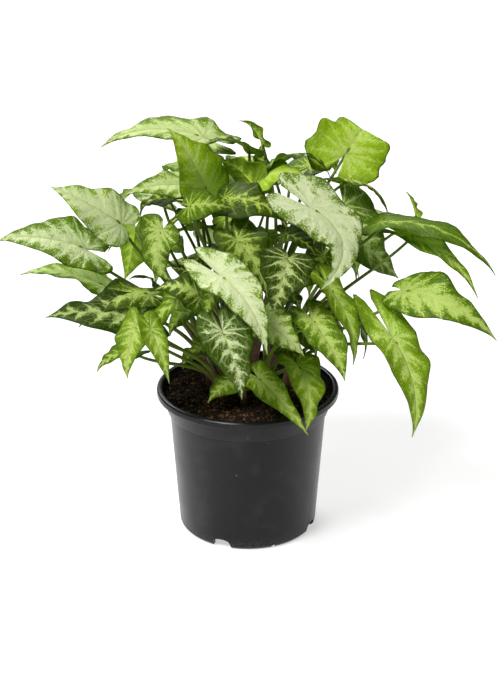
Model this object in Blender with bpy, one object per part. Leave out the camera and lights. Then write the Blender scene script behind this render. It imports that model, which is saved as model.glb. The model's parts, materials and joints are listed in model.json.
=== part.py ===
"""Young variegated arrowhead plant growing in a round black nursery pot.

Nine leafy shoots stand in plain holes in the potting soil. Each shoot is one body: a short stem, the
petioles that sheathe it and the arrow-shaped blades that they carry. Lengths are in millimetres and
angles in degrees, and a mesh is turned into metres when it is made. The origin is the middle of the
pot's foot, with +Z up. The leaves are placed as seen from -Y, with +X to the right.
"""

import math
from typing import NamedTuple

import bmesh
import bpy
from mathutils import Matrix, Vector, noise
from mathutils.bvhtree import BVHTree

MM = 0.001
UP = Vector((0, 0, 1))

# Pot
POT_HEIGHT = 107
LIP_RADIUS = 65
LIP_HEIGHT = 5.4
COLLAR_TOP_RADIUS = 60.3
COLLAR_FOOT_RADIUS = 57.6
COLLAR_FOOT_Z = 90
BODY_TOP_RADIUS = 55.8
BODY_FOOT_RADIUS = 49.6
FOOT_RADIUS = 47.5
FOOT_WIDTH = 3.2
FOOT_CHAMFER = 2.2
WALL = 1.5
FLOOR_Z = 8
FLOOR_THICKNESS = 2
POT_SEGMENTS = 32

# Openings round the pot's base, as angles from the front, to the right
NOTCH_ANGLES = (-22.5, 67.5, 157.5, 247.5)
NOTCH_WIDTH = 14
NOTCH_HEIGHT = 7
NICK_ANGLES = (22.5, 112.5, 202.5, 292.5)
NICK_WIDTH = 3.2
NICK_HEIGHT = 2.4
DRAIN_HOLES = 8
DRAIN_CIRCLE_RADIUS = 33
DRAIN_HOLE_RADIUS = 4
DRAIN_HOLE_SIDES = 8

# Soil
FIT_GAP = 0.4
SOIL_EDGE_Z = 102.5
SOIL_MOUND = 2
SOIL_LUMP = 0.9
SOIL_LUMP_WIDTH = 9
SOIL_RINGS = (49, 38, 26, 13)

# Stems
STEM_RADIUS = 3.2
STEM_TOP_SHARE = 0.75
STEM_DEPTH = 12
STEM_SIDES = 6
HOLE_CLEARANCE = 0.8
HOLE_SIDES = 8

# Petioles
PETIOLE_FOOT_RADIUS = 1.8
PETIOLE_TOP_RADIUS = 1.1
PETIOLE_SIDES = 4
PETIOLE_STEPS = 6
PETIOLE_SET_OUT = 1.6
PETIOLE_LOWEST = 3.5
PETIOLE_BELOW_TOP = 2.5
PETIOLE_OVERLAP = 0.06
PETIOLE_CLEARANCE = 2.6
ROUTE_STEPS = 40
ROUTE_STEPS_AT_BLADE = 6

# Ways to bend a petiole aside and up, in the order in which they are tried
SWAYS = sorted(
    ((aside, up) for aside in range(-24, 25, 4) for up in range(-16, 17, 4)),
    key=lambda sway: (abs(sway[0]) + abs(sway[1]), sway),
)

# Blades
BLADE_THICKNESS = 0.7
SECTION_STEPS = 2
SMALL_LEAF = 40
WAVES = 1.8
WAVE_HEIGHT = 2.2
MOST_SCRAP_AREA = 120


class Rib(NamedTuple):
    """A line across half a blade: its root and its end along the midrib, and how far out it ends.

    Along the midrib 1 is the tip, and -1 is the end of the basal lobe. Outwards 1 is the half width.
    """

    root: float
    along: float
    out: float


BLADE_RIBS = (
    Rib(0, -0.82, 0.16),
    Rib(0, -1, 0.5),
    Rib(0, -0.55, 0.88),
    Rib(0.03, 0.03, 1),
    Rib(0.18, 0.28, 0.9),
    Rib(0.38, 0.52, 0.62),
    Rib(0.6, 0.75, 0.3),
    Rib(0.82, 0.9, 0.09),
    Rib(1, 1, 0),
)


class Shoot(NamedTuple):
    """Where a stem leaves the soil, and how far it stands above it."""

    x: float
    y: float
    height: float


SHOOTS = {
    "shoot_left": Shoot(-26, 4, 14),
    "shoot_front_left": Shoot(-19, -14, 12),
    "shoot_front": Shoot(-3, -24, 12),
    "shoot_front_right": Shoot(14, -17, 12),
    "shoot_right": Shoot(27, -1, 15),
    "shoot_upper_right": Shoot(14, 14, 20),
    "shoot_middle": Shoot(-1, 0, 24),
    "shoot_upper_left": Shoot(-13, 18, 20),
    "shoot_back": Shoot(4, 32, 16),
}


class Leaf(NamedTuple):
    """A blade from the point where its petiole joins it to its tip.

    turn rolls the blade about the line between the two, from facing up and outwards. bow is how far its
    middle rises off that line, and bend how far it swings aside in the blade's own plane. fold lifts its
    halves like a V, or drops them if it is negative. lobe is how far the basal lobes reach back, as a
    share of the length.
    """

    at: tuple
    tip: tuple
    width: float
    turn: float = 0
    bow: float = 6
    bend: float = 0
    fold: float = 12
    lobe: float = 0.3


LEAVES = {
    "shoot_left": (
        Leaf((-86, -6, 230), (-133, -12, 259), 38, turn=-62, bow=4, fold=6, lobe=0.18),
        Leaf((-110, -20, 217), (-168, -35, 229), 44, turn=-34, bow=6, fold=8),
        Leaf((-99, -5, 184), (-157, -10, 196), 34, turn=-8, bow=5),
        Leaf((-79, 30, 215), (-88, 30, 175), 32, turn=90, bow=4),
        Leaf((-58, -12, 228), (-50, -22, 192), 36, turn=-5, bow=4, bend=-6, fold=14, lobe=0.16),
        Leaf((-62, 14, 176), (-84, 12, 184), 26, bow=5, fold=-14),
    ),
    "shoot_front_left": (
        Leaf((-72, -38, 174), (-137, -46, 178), 40, turn=-26, bow=7, fold=10),
        Leaf((-67, -20, 184), (-115, -45, 170), 32, turn=-25, bow=11, fold=-10),
        Leaf((-73, -64, 179), (-80, -78, 146), 24, turn=-15, bow=4),
        Leaf((-77, -58, 158), (-101, -72, 149), 22, bow=4),
        Leaf((-63, -76, 181), (-51, -90, 148), 16, turn=-30, bow=3, fold=22),
        Leaf((-46, -50, 192), (-65, -60, 163), 30, turn=10, bow=5),
        Leaf((-31, -55, 196), (-62, -55, 201), 28, bow=8, fold=-12),
        Leaf((-30, -16, 142), (-46, -22, 129), 24, bow=4, fold=10),
        Leaf((-36, -28, 176), (-54, -38, 160), 26, bow=4, fold=12),
    ),
    "shoot_front": (
        Leaf((-16, -94, 187), (-3, -118, 149), 34, turn=-12, bow=6, fold=12, lobe=0.38),
        Leaf((-18, -74, 218), (13, -108, 176), 30, turn=-5, bow=7, bend=4, fold=14, lobe=0.42),
        Leaf((-8, -30, 124), (-28, -46, 114), 26, bow=4, fold=8),
        Leaf((-19, -60, 206), (-27, -66, 185), 18, bow=4, fold=20),
        Leaf((-33, -18, 192), (-52, -18, 203), 26, bow=4, fold=-10),
    ),
    "shoot_front_right": (
        Leaf((9, -64, 184), (38, -80, 163), 30, turn=15, bow=6, fold=10, lobe=0.12),
        Leaf((27, -55, 223), (16, -70, 189), 38, turn=-5, bow=3, fold=8, lobe=0.14),
        Leaf((7, -48, 134), (41, -88, 109), 22, turn=20, bow=9, fold=14),
        Leaf((34, -50, 144), (39, -82, 108), 31, turn=-10, bow=9, fold=10, lobe=0.2),
        Leaf((43, -58, 181), (65, -84, 147), 30, turn=10, bow=4, fold=14),
        Leaf((32, -30, 163), (48, -40, 144), 26, bow=4, fold=14),
        Leaf((26, -24, 146), (42, -36, 128), 22, bow=4, fold=10),
    ),
    "shoot_right": (
        Leaf((103, -48, 198), (165, -76, 173), 38, turn=30, bow=11, fold=-8, lobe=0.15),
        Leaf((96, -68, 172), (109, -98, 112), 32, turn=15, bow=9, bend=3, fold=14, lobe=0.5),
        Leaf((55, -38, 196), (72, -52, 144), 22, turn=10, bow=8, fold=20),
        Leaf((63, -20, 179), (81, -25, 137), 22, bow=7, fold=16),
        Leaf((90, -12, 233), (166, -48, 209), 36, turn=12, bow=13, fold=-6, lobe=0.12),
        Leaf((108, -15, 225), (155, -45, 191), 22, turn=20, bow=8, fold=14),
        Leaf((118, 20, 226), (110, 20, 245), 7, bow=1, fold=50, lobe=0.1),
        Leaf((51, 6, 164), (67, -2, 142), 24, bow=4, fold=12),
    ),
    "shoot_upper_right": (
        Leaf((41, -30, 250), (48, -58, 201), 42, turn=5, bow=8, bend=17, fold=10, lobe=0.3),
        Leaf((66, 13, 237), (107, 4, 187), 54, turn=40, bow=7, bend=-13, fold=10, lobe=0.25),
        Leaf((69, 50, 263), (81, 90, 262), 56, turn=5, bow=14, fold=4, lobe=0.32),
        Leaf((68, 20, 254), (98, 10, 226), 20, bow=9, fold=-20),
        Leaf((17, 36, 261), (59, 30, 253), 36, turn=15, bow=11, fold=-8, lobe=0.15),
        Leaf((52, -8, 207), (37, -16, 186), 24, bow=3, fold=14),
        Leaf((75, 60, 212), (118, 95, 190), 38, bow=9, fold=8),
        Leaf((44, 64, 250), (66, 94, 236), 34, bow=8, fold=8),
        Leaf((50, 24, 206), (78, 14, 180), 34, bow=6, fold=10),
        Leaf((40, 16, 222), (62, 4, 210), 28, bow=6, fold=8),
    ),
    "shoot_middle": (
        Leaf((-7, -38, 230), (14, -52, 193), 36, turn=-10, bow=6, fold=16),
        Leaf((-39, -28, 250), (-9, -34, 250), 24, turn=20, bow=8, fold=-10),
        Leaf((-16, -18, 252), (28, -30, 238), 34, bow=10, fold=-8, lobe=0.14),
        Leaf((10, 15, 255), (45, 10, 252), 38, turn=30, bow=9, fold=-8),
        Leaf((5, 20, 249), (-21, 20, 268), 30, turn=15, bow=5),
        Leaf((25, -25, 229), (46, -35, 218), 24, bow=3, fold=10),
        Leaf((-22, 8, 206), (-44, -8, 186), 28, bow=6, fold=10),
        Leaf((18, 0, 182), (38, -12, 162), 28, bow=6, fold=10),
        Leaf((-14, 6, 232), (4, -8, 218), 26, bow=5, fold=10),
        Leaf((10, 6, 234), (28, -8, 222), 26, bow=5, fold=10),
    ),
    "shoot_upper_left": (
        Leaf((-31, 60, 272), (-103, 40, 272), 36, turn=-52, bow=4, bend=-9, fold=8),
        Leaf((-28, 10, 248), (-53, 0, 296), 44, turn=175, bow=5, fold=10),
        Leaf((-34, 20, 247), (-85, 0, 249), 34, turn=-55, bow=6, fold=10),
        Leaf((-53, 18, 240), (-76, 20, 226), 30, turn=-15, bow=6, fold=16),
        Leaf((-36, 0, 236), (-55, -6, 219), 28, bow=5, fold=12),
        Leaf((3, 50, 265), (-32, 40, 272), 34, turn=-30, bow=6, fold=8, lobe=0.14),
        Leaf((-60, 70, 225), (-98, 112, 205), 38, bow=9, fold=8),
        Leaf((-66, 60, 192), (-106, 94, 176), 36, bow=8, fold=8),
        Leaf((-38, 44, 252), (-62, 78, 240), 34, bow=7, fold=8),
        Leaf((-34, 28, 216), (-60, 14, 202), 28, bow=6, fold=10),
    ),
    "shoot_back": (
        Leaf((10, 70, 267), (-6, 75, 281), 14, bow=3, fold=20),
        Leaf((16, 66, 248), (10, 68, 266), 26, turn=160, bow=3),
        Leaf((-25, 84, 222), (-42, 117, 203), 38, bow=9, fold=8),
        Leaf((30, 80, 238), (44, 118, 222), 40, bow=9, fold=8),
        Leaf((-45, 72, 172), (-72, 110, 142), 36, bow=9, fold=8),
        Leaf((5, 76, 168), (10, 118, 138), 36, bow=9, fold=8),
        Leaf((55, 75, 178), (86, 112, 148), 36, bow=9, fold=8),
        Leaf((-2, 62, 236), (-2, 108, 244), 38, bow=8, fold=8),
        Leaf((-22, 70, 196), (-30, 112, 172), 34, bow=9, fold=8),
        Leaf((-24, 46, 190), (-40, 58, 158), 32, bow=5, fold=10),
        Leaf((32, 46, 186), (46, 58, 152), 34, bow=5, fold=10),
        Leaf((3, 52, 202), (6, 62, 166), 34, bow=5, fold=10),
    ),
}


def from_front(angle):
    """The level direction at an angle from the front, towards the right."""
    return Vector((math.sin(math.radians(angle)), -math.cos(math.radians(angle)), 0))


def mesh_object(name, points, faces):
    """An object from points in millimetres."""
    mesh = bpy.data.meshes.new(name)
    mesh.from_pydata([tuple(Vector(p) * MM) for p in points], [], faces)
    mesh.update()
    made = bpy.data.objects.new(name, mesh)
    bpy.context.scene.collection.objects.link(made)
    return made


def turned(name, profile, segments):
    """A closed body turned about Z from (radius, height) points. It starts and ends on the axis."""
    points, rings = [], []
    for radius, z in profile:
        count = segments if radius else 1
        rings.append([len(points) + k for k in range(count)])
        for k in range(count):
            angle = 2 * math.pi * k / segments
            points.append((radius * math.cos(angle), radius * math.sin(angle), z))
    faces = []
    for lower, upper in zip(rings, rings[1:]):
        for k in range(segments):
            after = (k + 1) % segments
            if len(lower) == 1:
                faces.append((lower[0], upper[after], upper[k]))
            elif len(upper) == 1:
                faces.append((lower[k], lower[after], upper[0]))
            else:
                faces.append((lower[k], lower[after], upper[after], upper[k]))
    return mesh_object(name, points, faces)


def prism(name, outline, start, end):
    """A closed body that carries a flat outline from start to end. outline gives points off that line."""
    points = [start + p for p in outline] + [end + p for p in outline]
    count = len(outline)
    sides = [(k, (k + 1) % count, count + (k + 1) % count, count + k) for k in range(count)]
    ends = [tuple(reversed(range(count))), tuple(range(count, 2 * count))]
    made = mesh_object(name, points, sides + ends)
    face_out(made)
    return made


def face_out(obj):
    """Turns a closed mesh's faces outwards."""
    shape = bmesh.new()
    shape.from_mesh(obj.data)
    bmesh.ops.recalc_face_normals(shape, faces=shape.faces)
    shape.to_mesh(obj.data)
    shape.free()


def keep_outer_shell(obj):
    """Drops the small closed shells that a union leaves: hollows that it sealed, and scraps."""
    shape = bmesh.new()
    shape.from_mesh(obj.data)
    shells, waiting = [], set(shape.faces)
    while waiting:
        shell, reached = [], [waiting.pop()]
        while reached:
            face = reached.pop()
            shell.append(face)
            around = {near for edge in face.edges for near in edge.link_faces} & waiting
            waiting -= around
            reached += around
        shells.append(shell)
    areas = [sum(face.calc_area() for face in shell) for shell in shells]
    for shell, area in zip(shells, areas):
        if area == max(areas):
            continue
        if area > MOST_SCRAP_AREA * MM * MM:
            raise ValueError(f"{obj.name}: a piece isn't joined to the rest")
        bmesh.ops.delete(shape, geom=shell, context="FACES")
    shape.to_mesh(obj.data)
    shape.free()


def apply_boolean(obj, operation, others):
    """Joins or cuts an object with others, which are removed."""
    group = bpy.data.collections.new(obj.name + "_" + operation.lower())
    bpy.context.scene.collection.children.link(group)
    for other in others:
        group.objects.link(other)
    modifier = obj.modifiers.new(operation.title(), "BOOLEAN")
    modifier.operation = operation
    modifier.operand_type = "COLLECTION"
    modifier.collection = group
    modifier.solver = "EXACT"
    modifier.use_self = operation == "UNION"
    graph = bpy.context.evaluated_depsgraph_get()
    joined = bpy.data.meshes.new_from_object(obj.evaluated_get(graph))
    obj.modifiers.clear()
    obj.data = joined
    for other in list(group.objects):
        bpy.data.objects.remove(other)
    bpy.data.collections.remove(group)


def plain_material(name, colour, roughness):
    """A material with one colour."""
    made = bpy.data.materials.new(name)
    made.use_nodes = True
    shader = made.node_tree.nodes["Principled BSDF"]
    shader.inputs["Base Color"].default_value = (*colour, 1)
    shader.inputs["Roughness"].default_value = roughness
    shader.inputs["Metallic"].default_value = 0
    return made


def finish(obj, material, sharp_angle):
    """Gives an object its material and smooth shading."""
    obj.data.materials.clear()
    obj.data.materials.append(material)
    obj.data.shade_smooth()
    obj.data.set_sharp_from_angle(angle=math.radians(sharp_angle))


def pot_profile():
    """The pot's wall and floor, from the middle of the floor's underside round to its top."""
    lip_foot_z = POT_HEIGHT - LIP_HEIGHT
    inner_floor_z = FLOOR_Z + FLOOR_THICKNESS
    return [
        (0, FLOOR_Z),
        (FOOT_RADIUS - FOOT_WIDTH - 0.4, FLOOR_Z),
        (FOOT_RADIUS - FOOT_WIDTH, 0),
        (FOOT_RADIUS, 0),
        (BODY_FOOT_RADIUS, FOOT_CHAMFER),
        (BODY_TOP_RADIUS, COLLAR_FOOT_Z - 0.6),
        (COLLAR_FOOT_RADIUS, COLLAR_FOOT_Z),
        (COLLAR_TOP_RADIUS, lip_foot_z),
        (LIP_RADIUS - 0.7, lip_foot_z + 0.3),
        (LIP_RADIUS, lip_foot_z + 1.2),
        (LIP_RADIUS, POT_HEIGHT - 1.6),
        (LIP_RADIUS - 0.8, POT_HEIGHT - 0.4),
        (LIP_RADIUS - 2.2, POT_HEIGHT),
        (LIP_RADIUS - 3.6, POT_HEIGHT - 0.5),
        (LIP_RADIUS - 4.2, POT_HEIGHT - 1.5),
        (COLLAR_TOP_RADIUS - WALL, lip_foot_z),
        (COLLAR_FOOT_RADIUS - WALL, COLLAR_FOOT_Z + 0.8),
        (BODY_TOP_RADIUS - WALL, COLLAR_FOOT_Z - 0.6),
        (BODY_FOOT_RADIUS - WALL - 0.2, inner_floor_z),
        (0, inner_floor_z),
    ]


def arch_outline(width, height, across):
    """Points of an arched opening's outline, which starts a little below the ground."""
    side = [(1, -0.4), (1, 0.45), (0.72, 0.86), (0.3, 1)]
    shape = side + [(-x, z) for x, z in reversed(side)]
    return [across * (x * width / 2) + UP * (z * height) for x, z in shape]


def base_cutters():
    """Bodies that cut the openings in the pot's foot and floor."""
    cutters = []
    sizes = [(a, NOTCH_WIDTH, NOTCH_HEIGHT) for a in NOTCH_ANGLES]
    sizes += [(a, NICK_WIDTH, NICK_HEIGHT) for a in NICK_ANGLES]
    for angle, width, height in sizes:
        out = from_front(angle)
        outline = arch_outline(width, height, UP.cross(out))
        start, end = out * (FOOT_RADIUS - 2 * FOOT_WIDTH), out * (BODY_FOOT_RADIUS + FOOT_WIDTH)
        cutters.append(prism("notch", outline, start, end))
    low, high = FLOOR_Z - FLOOR_THICKNESS, FLOOR_Z + 2 * FLOOR_THICKNESS
    drains = [from_front(360 * k / DRAIN_HOLES) * DRAIN_CIRCLE_RADIUS for k in range(DRAIN_HOLES)]
    for middle in [*drains, Vector()]:
        cutters.append(upright_cylinder("drain", middle, DRAIN_HOLE_RADIUS, DRAIN_HOLE_SIDES, low, high))
    return cutters


def upright_cylinder(name, middle, radius, sides, low, high):
    """A cylinder about an upright axis, between two heights."""
    angles = [2 * math.pi * k / sides for k in range(sides)]
    outline = [Vector((radius * math.cos(a), radius * math.sin(a), 0)) for a in angles]
    return prism(name, outline, middle + UP * low, middle + UP * high)


def make_pot():
    """The nursery pot, with the openings in its base."""
    pot = turned("pot", pot_profile(), POT_SEGMENTS)
    face_out(pot)
    apply_boolean(pot, "DIFFERENCE", base_cutters())
    finish(pot, plain_material("pot_plastic", (0.025, 0.025, 0.027), 0.4), 30)


def soil_height(x, y):
    """The soil's surface: a low mound with lumps."""
    edge = math.hypot(x, y) / (COLLAR_TOP_RADIUS - WALL)
    lumps = noise.noise(Vector((x, y, 0)) / SOIL_LUMP_WIDTH)
    return SOIL_EDGE_Z + SOIL_MOUND * (1 - edge * edge) + SOIL_LUMP * lumps


def make_soil():
    """The potting soil, which fills the pot, with a hole for each stem."""
    floor_z = FLOOR_Z + FLOOR_THICKNESS + FIT_GAP
    profile = [
        (0, floor_z),
        (BODY_FOOT_RADIUS - WALL - 0.2 - FIT_GAP, floor_z),
        (BODY_TOP_RADIUS - WALL - FIT_GAP, COLLAR_FOOT_Z - 1),
        (COLLAR_FOOT_RADIUS - WALL - FIT_GAP, COLLAR_FOOT_Z + 1),
        (COLLAR_TOP_RADIUS - WALL - FIT_GAP, SOIL_EDGE_Z - 1),
    ]
    profile += [(radius, SOIL_EDGE_Z) for radius in SOIL_RINGS]
    profile.append((0, SOIL_EDGE_Z))
    soil = turned("soil", profile, POT_SEGMENTS)
    for vertex in soil.data.vertices:
        if vertex.co.z > (SOIL_EDGE_Z - 0.5) * MM:
            vertex.co.z = soil_height(vertex.co.x / MM, vertex.co.y / MM) * MM
    face_out(soil)
    cutters = []
    low, high = SOIL_EDGE_Z - STEM_DEPTH - FIT_GAP, POT_HEIGHT
    for shoot in SHOOTS.values():
        foot = Vector((shoot.x, shoot.y, 0))
        cutters.append(upright_cylinder("hole", foot, STEM_RADIUS + HOLE_CLEARANCE, HOLE_SIDES, low, high))
    apply_boolean(soil, "DIFFERENCE", cutters)
    finish(soil, plain_material("potting_soil", (0.02, 0.012, 0.008), 0.95), 50)


class BladeFrame(NamedTuple):
    """A blade's directions: along it, across it and out of its upper face."""

    start: Vector
    length: float
    along: Vector
    across: Vector
    out: Vector


def blade_frame(leaf):
    """The directions of a leaf's blade."""
    start, tip = Vector(leaf.at), Vector(leaf.tip)
    along = (tip - start).normalized()
    middle = (start + tip) / 2
    outwards = Vector((middle.x, middle.y, 0)).normalized()
    facing = UP * 0.75 + outwards * 0.65
    out = (facing - along * facing.dot(along)).normalized()
    out = Matrix.Rotation(math.radians(leaf.turn), 3, along) @ out
    return BladeFrame(start, (tip - start).length, along, out.cross(along), out)


def blade_point(leaf, frame, share, off):
    """A point of the blade at a share of its length, and off its midrib by a share of its half width."""
    length = frame.length
    arch = share * (1 - max(share, 0))
    slope = (1 - 2 * max(share, 0)) / length
    side = frame.out * leaf.bow + frame.across * leaf.bend
    middle = frame.start + frame.along * (length * share) + side * (4 * arch)
    tangent = (frame.along + side * (4 * slope)).normalized()
    out = (frame.out - tangent * frame.out.dot(tangent)).normalized()
    half = leaf.width / 2
    lift = math.tan(math.radians(leaf.fold)) * abs(off) * half * (1 - 0.55 * abs(off))
    wave = math.sin(2 * math.pi * WAVES * share + leaf.at[0] + leaf.at[1])
    lift += WAVE_HEIGHT * off * abs(off) * wave
    return middle + out.cross(tangent) * (off * half) + out * lift


def blade_sheet(leaf, sections):
    """The blade's middle surface as points and triangles."""
    frame = blade_frame(leaf)
    points, found, triangles = [], {}, []

    def index(side, rib, step):
        along = rib.along * (leaf.lobe if rib.along < 0 else 1)
        share = rib.root + (along - rib.root) * step / sections
        off = side * rib.out * step / sections
        key = (round(share, 5), round(off, 5))
        if key not in found:
            found[key] = len(points)
            points.append(blade_point(leaf, frame, share, off))
        return found[key]

    for side in (1, -1):
        for rib, after in zip(BLADE_RIBS, BLADE_RIBS[1:]):
            for step in range(sections):
                a, b = index(side, rib, step), index(side, rib, step + 1)
                c, d = index(side, after, step), index(side, after, step + 1)
                halves = ((a, b, d), (a, d, c)) if side < 0 else ((a, d, b), (a, c, d))
                triangles += [t for t in halves if len(set(t)) == 3]
    return points, triangles


def solid_sheet(points, triangles, thickness):
    """A closed body of even thickness about a sheet, with the same triangles on both faces."""
    normals = [Vector() for _ in points]
    for a, b, c in triangles:
        normal = (points[b] - points[a]).cross(points[c] - points[a])
        for k in (a, b, c):
            normals[k] += normal
    steps = [normal.normalized() * (thickness / 2) for normal in normals]
    both = [p + step for p, step in zip(points, steps)] + [p - step for p, step in zip(points, steps)]
    count = len(points)
    faces = list(triangles) + [(c + count, b + count, a + count) for a, b, c in triangles]
    edges = {(t[k], t[(k + 1) % 3]) for t in triangles for k in range(3)}
    for a, b in sorted(edges):
        if (b, a) not in edges:
            faces += [(b, a, a + count), (b, a + count, b + count)]
    return both, faces


def petiole_start(shoot, leaf, rank):
    """Where a leaf's petiole leaves its stem. rank runs from 0 at the stem's foot to 1 at its top."""
    z = soil_height(shoot.x, shoot.y) + PETIOLE_LOWEST
    z += (shoot.height - PETIOLE_LOWEST - PETIOLE_BELOW_TOP) * rank
    towards = Vector((leaf.at[0] - shoot.x, leaf.at[1] - shoot.y, 0)).normalized()
    return Vector((shoot.x, shoot.y, z)) + towards * PETIOLE_SET_OUT


def petiole_curve(leaf, start, sway, steps):
    """Points from the stem to just past the blade's base. sway moves the curve's middle aside and up."""
    frame = blade_frame(leaf)
    end = blade_point(leaf, frame, PETIOLE_OVERLAP, 0)
    run = end - start
    level = Vector((run.x, run.y, 0))
    aside = UP.cross(level).normalized() * sway[0] + UP * sway[1]
    first = start + level * 0.12 + UP * (0.5 * run.z + 0.12 * level.length) + aside
    arriving = (run.normalized() + frame.out * 0.4 + frame.along * 0.2).normalized()
    second = end - arriving * (0.32 * run.length) + aside
    curve = []
    for k in range(steps + 1):
        t = k / steps
        u = 1 - t
        curve.append(start * u**3 + first * (3 * t * u * u) + second * (3 * t * t * u) + end * t**3)
    return curve


def tube(points, foot_radius, top_radius, sides):
    """A closed tapering tube along points, as points and triangles. It ends in a point."""
    placed, faces = [], []
    last = len(points) - 1
    across = UP.cross(points[1] - points[0])
    if across.length < 0.01:
        across = Vector((1, 0, 0))  # An upright tube has no level side of its own
    for k, point in enumerate(points[:-1]):
        tangent = (points[min(k + 1, last)] - points[max(k - 1, 0)]).normalized()
        across = (across - tangent * across.dot(tangent)).normalized()
        other = tangent.cross(across)
        radius = foot_radius + (top_radius - foot_radius) * k / last
        for s in range(sides):
            angle = 2 * math.pi * s / sides
            placed.append(point + (across * math.cos(angle) + other * math.sin(angle)) * radius)
    top = len(placed)
    placed.append(points[last])
    for k in range(last):
        for s in range(sides):
            a, b = k * sides + s, k * sides + (s + 1) % sides
            faces += [(a, b, b + sides), (a, b + sides, a + sides)] if k < last - 1 else [(a, b, top)]
    faces += [(0, s + 1, s) for s in range(1, sides - 1)]
    return placed, faces


def points_near(curve, trees):
    """How many points of a curve lie within the petioles' clearance of any of the trees."""
    return sum(any(tree.find_nearest(p, PETIOLE_CLEARANCE)[0] for tree in trees) for p in curve)


def clearest_sway(leaf, start, others, own):
    """The first sway that keeps a petiole clearest of other shoots, and then of its own shoot's blades."""

    def hindrance(sway):
        curve = petiole_curve(leaf, start, sway, ROUTE_STEPS)
        return points_near(curve, others) + 0.1 * points_near(curve[:-ROUTE_STEPS_AT_BLADE], own)

    return min(SWAYS, key=hindrance)


def petiole_routes():
    """The curve of each petiole, bent clear of what other shoots carry. Keys are (shoot, number)."""
    blades = {}
    for name, leaves in LEAVES.items():
        for number, leaf in enumerate(leaves):
            blades[name, number] = BVHTree.FromPolygons(*blade_sheet(leaf, SECTION_STEPS))
    stems = {name: BVHTree.FromPolygons(*stem_body(shoot)) for name, shoot in SHOOTS.items()}
    placed, routes = [], {}
    for name, leaves in LEAVES.items():
        for number, leaf in enumerate(leaves):
            start = petiole_start(SHOOTS[name], leaf, (number + 1) / len(leaves))
            others = [tree for key, tree in blades.items() if key[0] != name]
            others += [tree for key, tree in stems.items() if key != name]
            others += [tree for key, tree in placed if key != name]
            own = [tree for key, tree in blades.items() if key[0] == name and key[1] != number]
            sway = clearest_sway(leaf, start, others, own)
            routes[name, number] = petiole_curve(leaf, start, sway, PETIOLE_STEPS)
            placed.append((name, BVHTree.FromPolygons(*petiole_body(routes[name, number]))))
    return routes


def stem_body(shoot):
    """A shoot's stem, from its hole in the soil to its top."""
    low = SOIL_EDGE_Z - STEM_DEPTH
    high = soil_height(shoot.x, shoot.y) + shoot.height
    points = [Vector((shoot.x, shoot.y, low + (high - low) * k / 2)) for k in range(3)]
    return tube(points, STEM_RADIUS, STEM_RADIUS * STEM_TOP_SHARE, STEM_SIDES)


def petiole_body(curve):
    """A petiole along its curve."""
    return tube(curve, PETIOLE_FOOT_RADIUS, PETIOLE_TOP_RADIUS, PETIOLE_SIDES)


def leaf_body(leaf):
    """A leaf's blade as a closed body."""
    length = (Vector(leaf.at) - Vector(leaf.tip)).length
    sections = 1 if length < SMALL_LEAF else SECTION_STEPS
    return solid_sheet(*blade_sheet(leaf, sections), BLADE_THICKNESS)


def make_shoot(name, routes, material):
    """One leafy shoot: its stem, petioles and blades in one body."""
    shoot = mesh_object(name, *stem_body(SHOOTS[name]))
    pieces = []
    for number, leaf in enumerate(LEAVES[name]):
        pieces.append(mesh_object("petiole", *petiole_body(routes[name, number])))
        pieces.append(mesh_object("blade", *leaf_body(leaf)))
    apply_boolean(shoot, "UNION", pieces)
    keep_outer_shell(shoot)
    finish(shoot, material, 40)


def main():
    for found in list(bpy.data.objects):
        bpy.data.objects.remove(found)
    make_pot()
    make_soil()
    routes = petiole_routes()
    green = plain_material("leaf_green", (0.16, 0.36, 0.07), 0.42)
    for name in SHOOTS:
        make_shoot(name, routes, green)


if __name__ == "__main__":
    main()
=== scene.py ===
"""The looks of the young variegated arrowhead plant in its round black nursery pot.

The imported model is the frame. Each leafy shoot is replaced by finer blades and stalks on the same middle
surfaces and routes, the pot by one with a rounded lip, and crumbs and fibres cover the soil. Shapes are
worked out in millimetres, as in the part's source, and turned into metres when a mesh is made. +Z is up,
and the plant is seen from -Y, with +X to the right.
"""

import json
import math
import random
from functools import partial
from itertools import product
from typing import NamedTuple

import bmesh
import bpy
from bpy.props import FloatProperty, FloatVectorProperty, IntProperty, PointerProperty
from bpy.types import Operator, Panel, PropertyGroup
from mathutils import Matrix, Vector, noise
from mathutils.bvhtree import BVHTree

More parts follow.
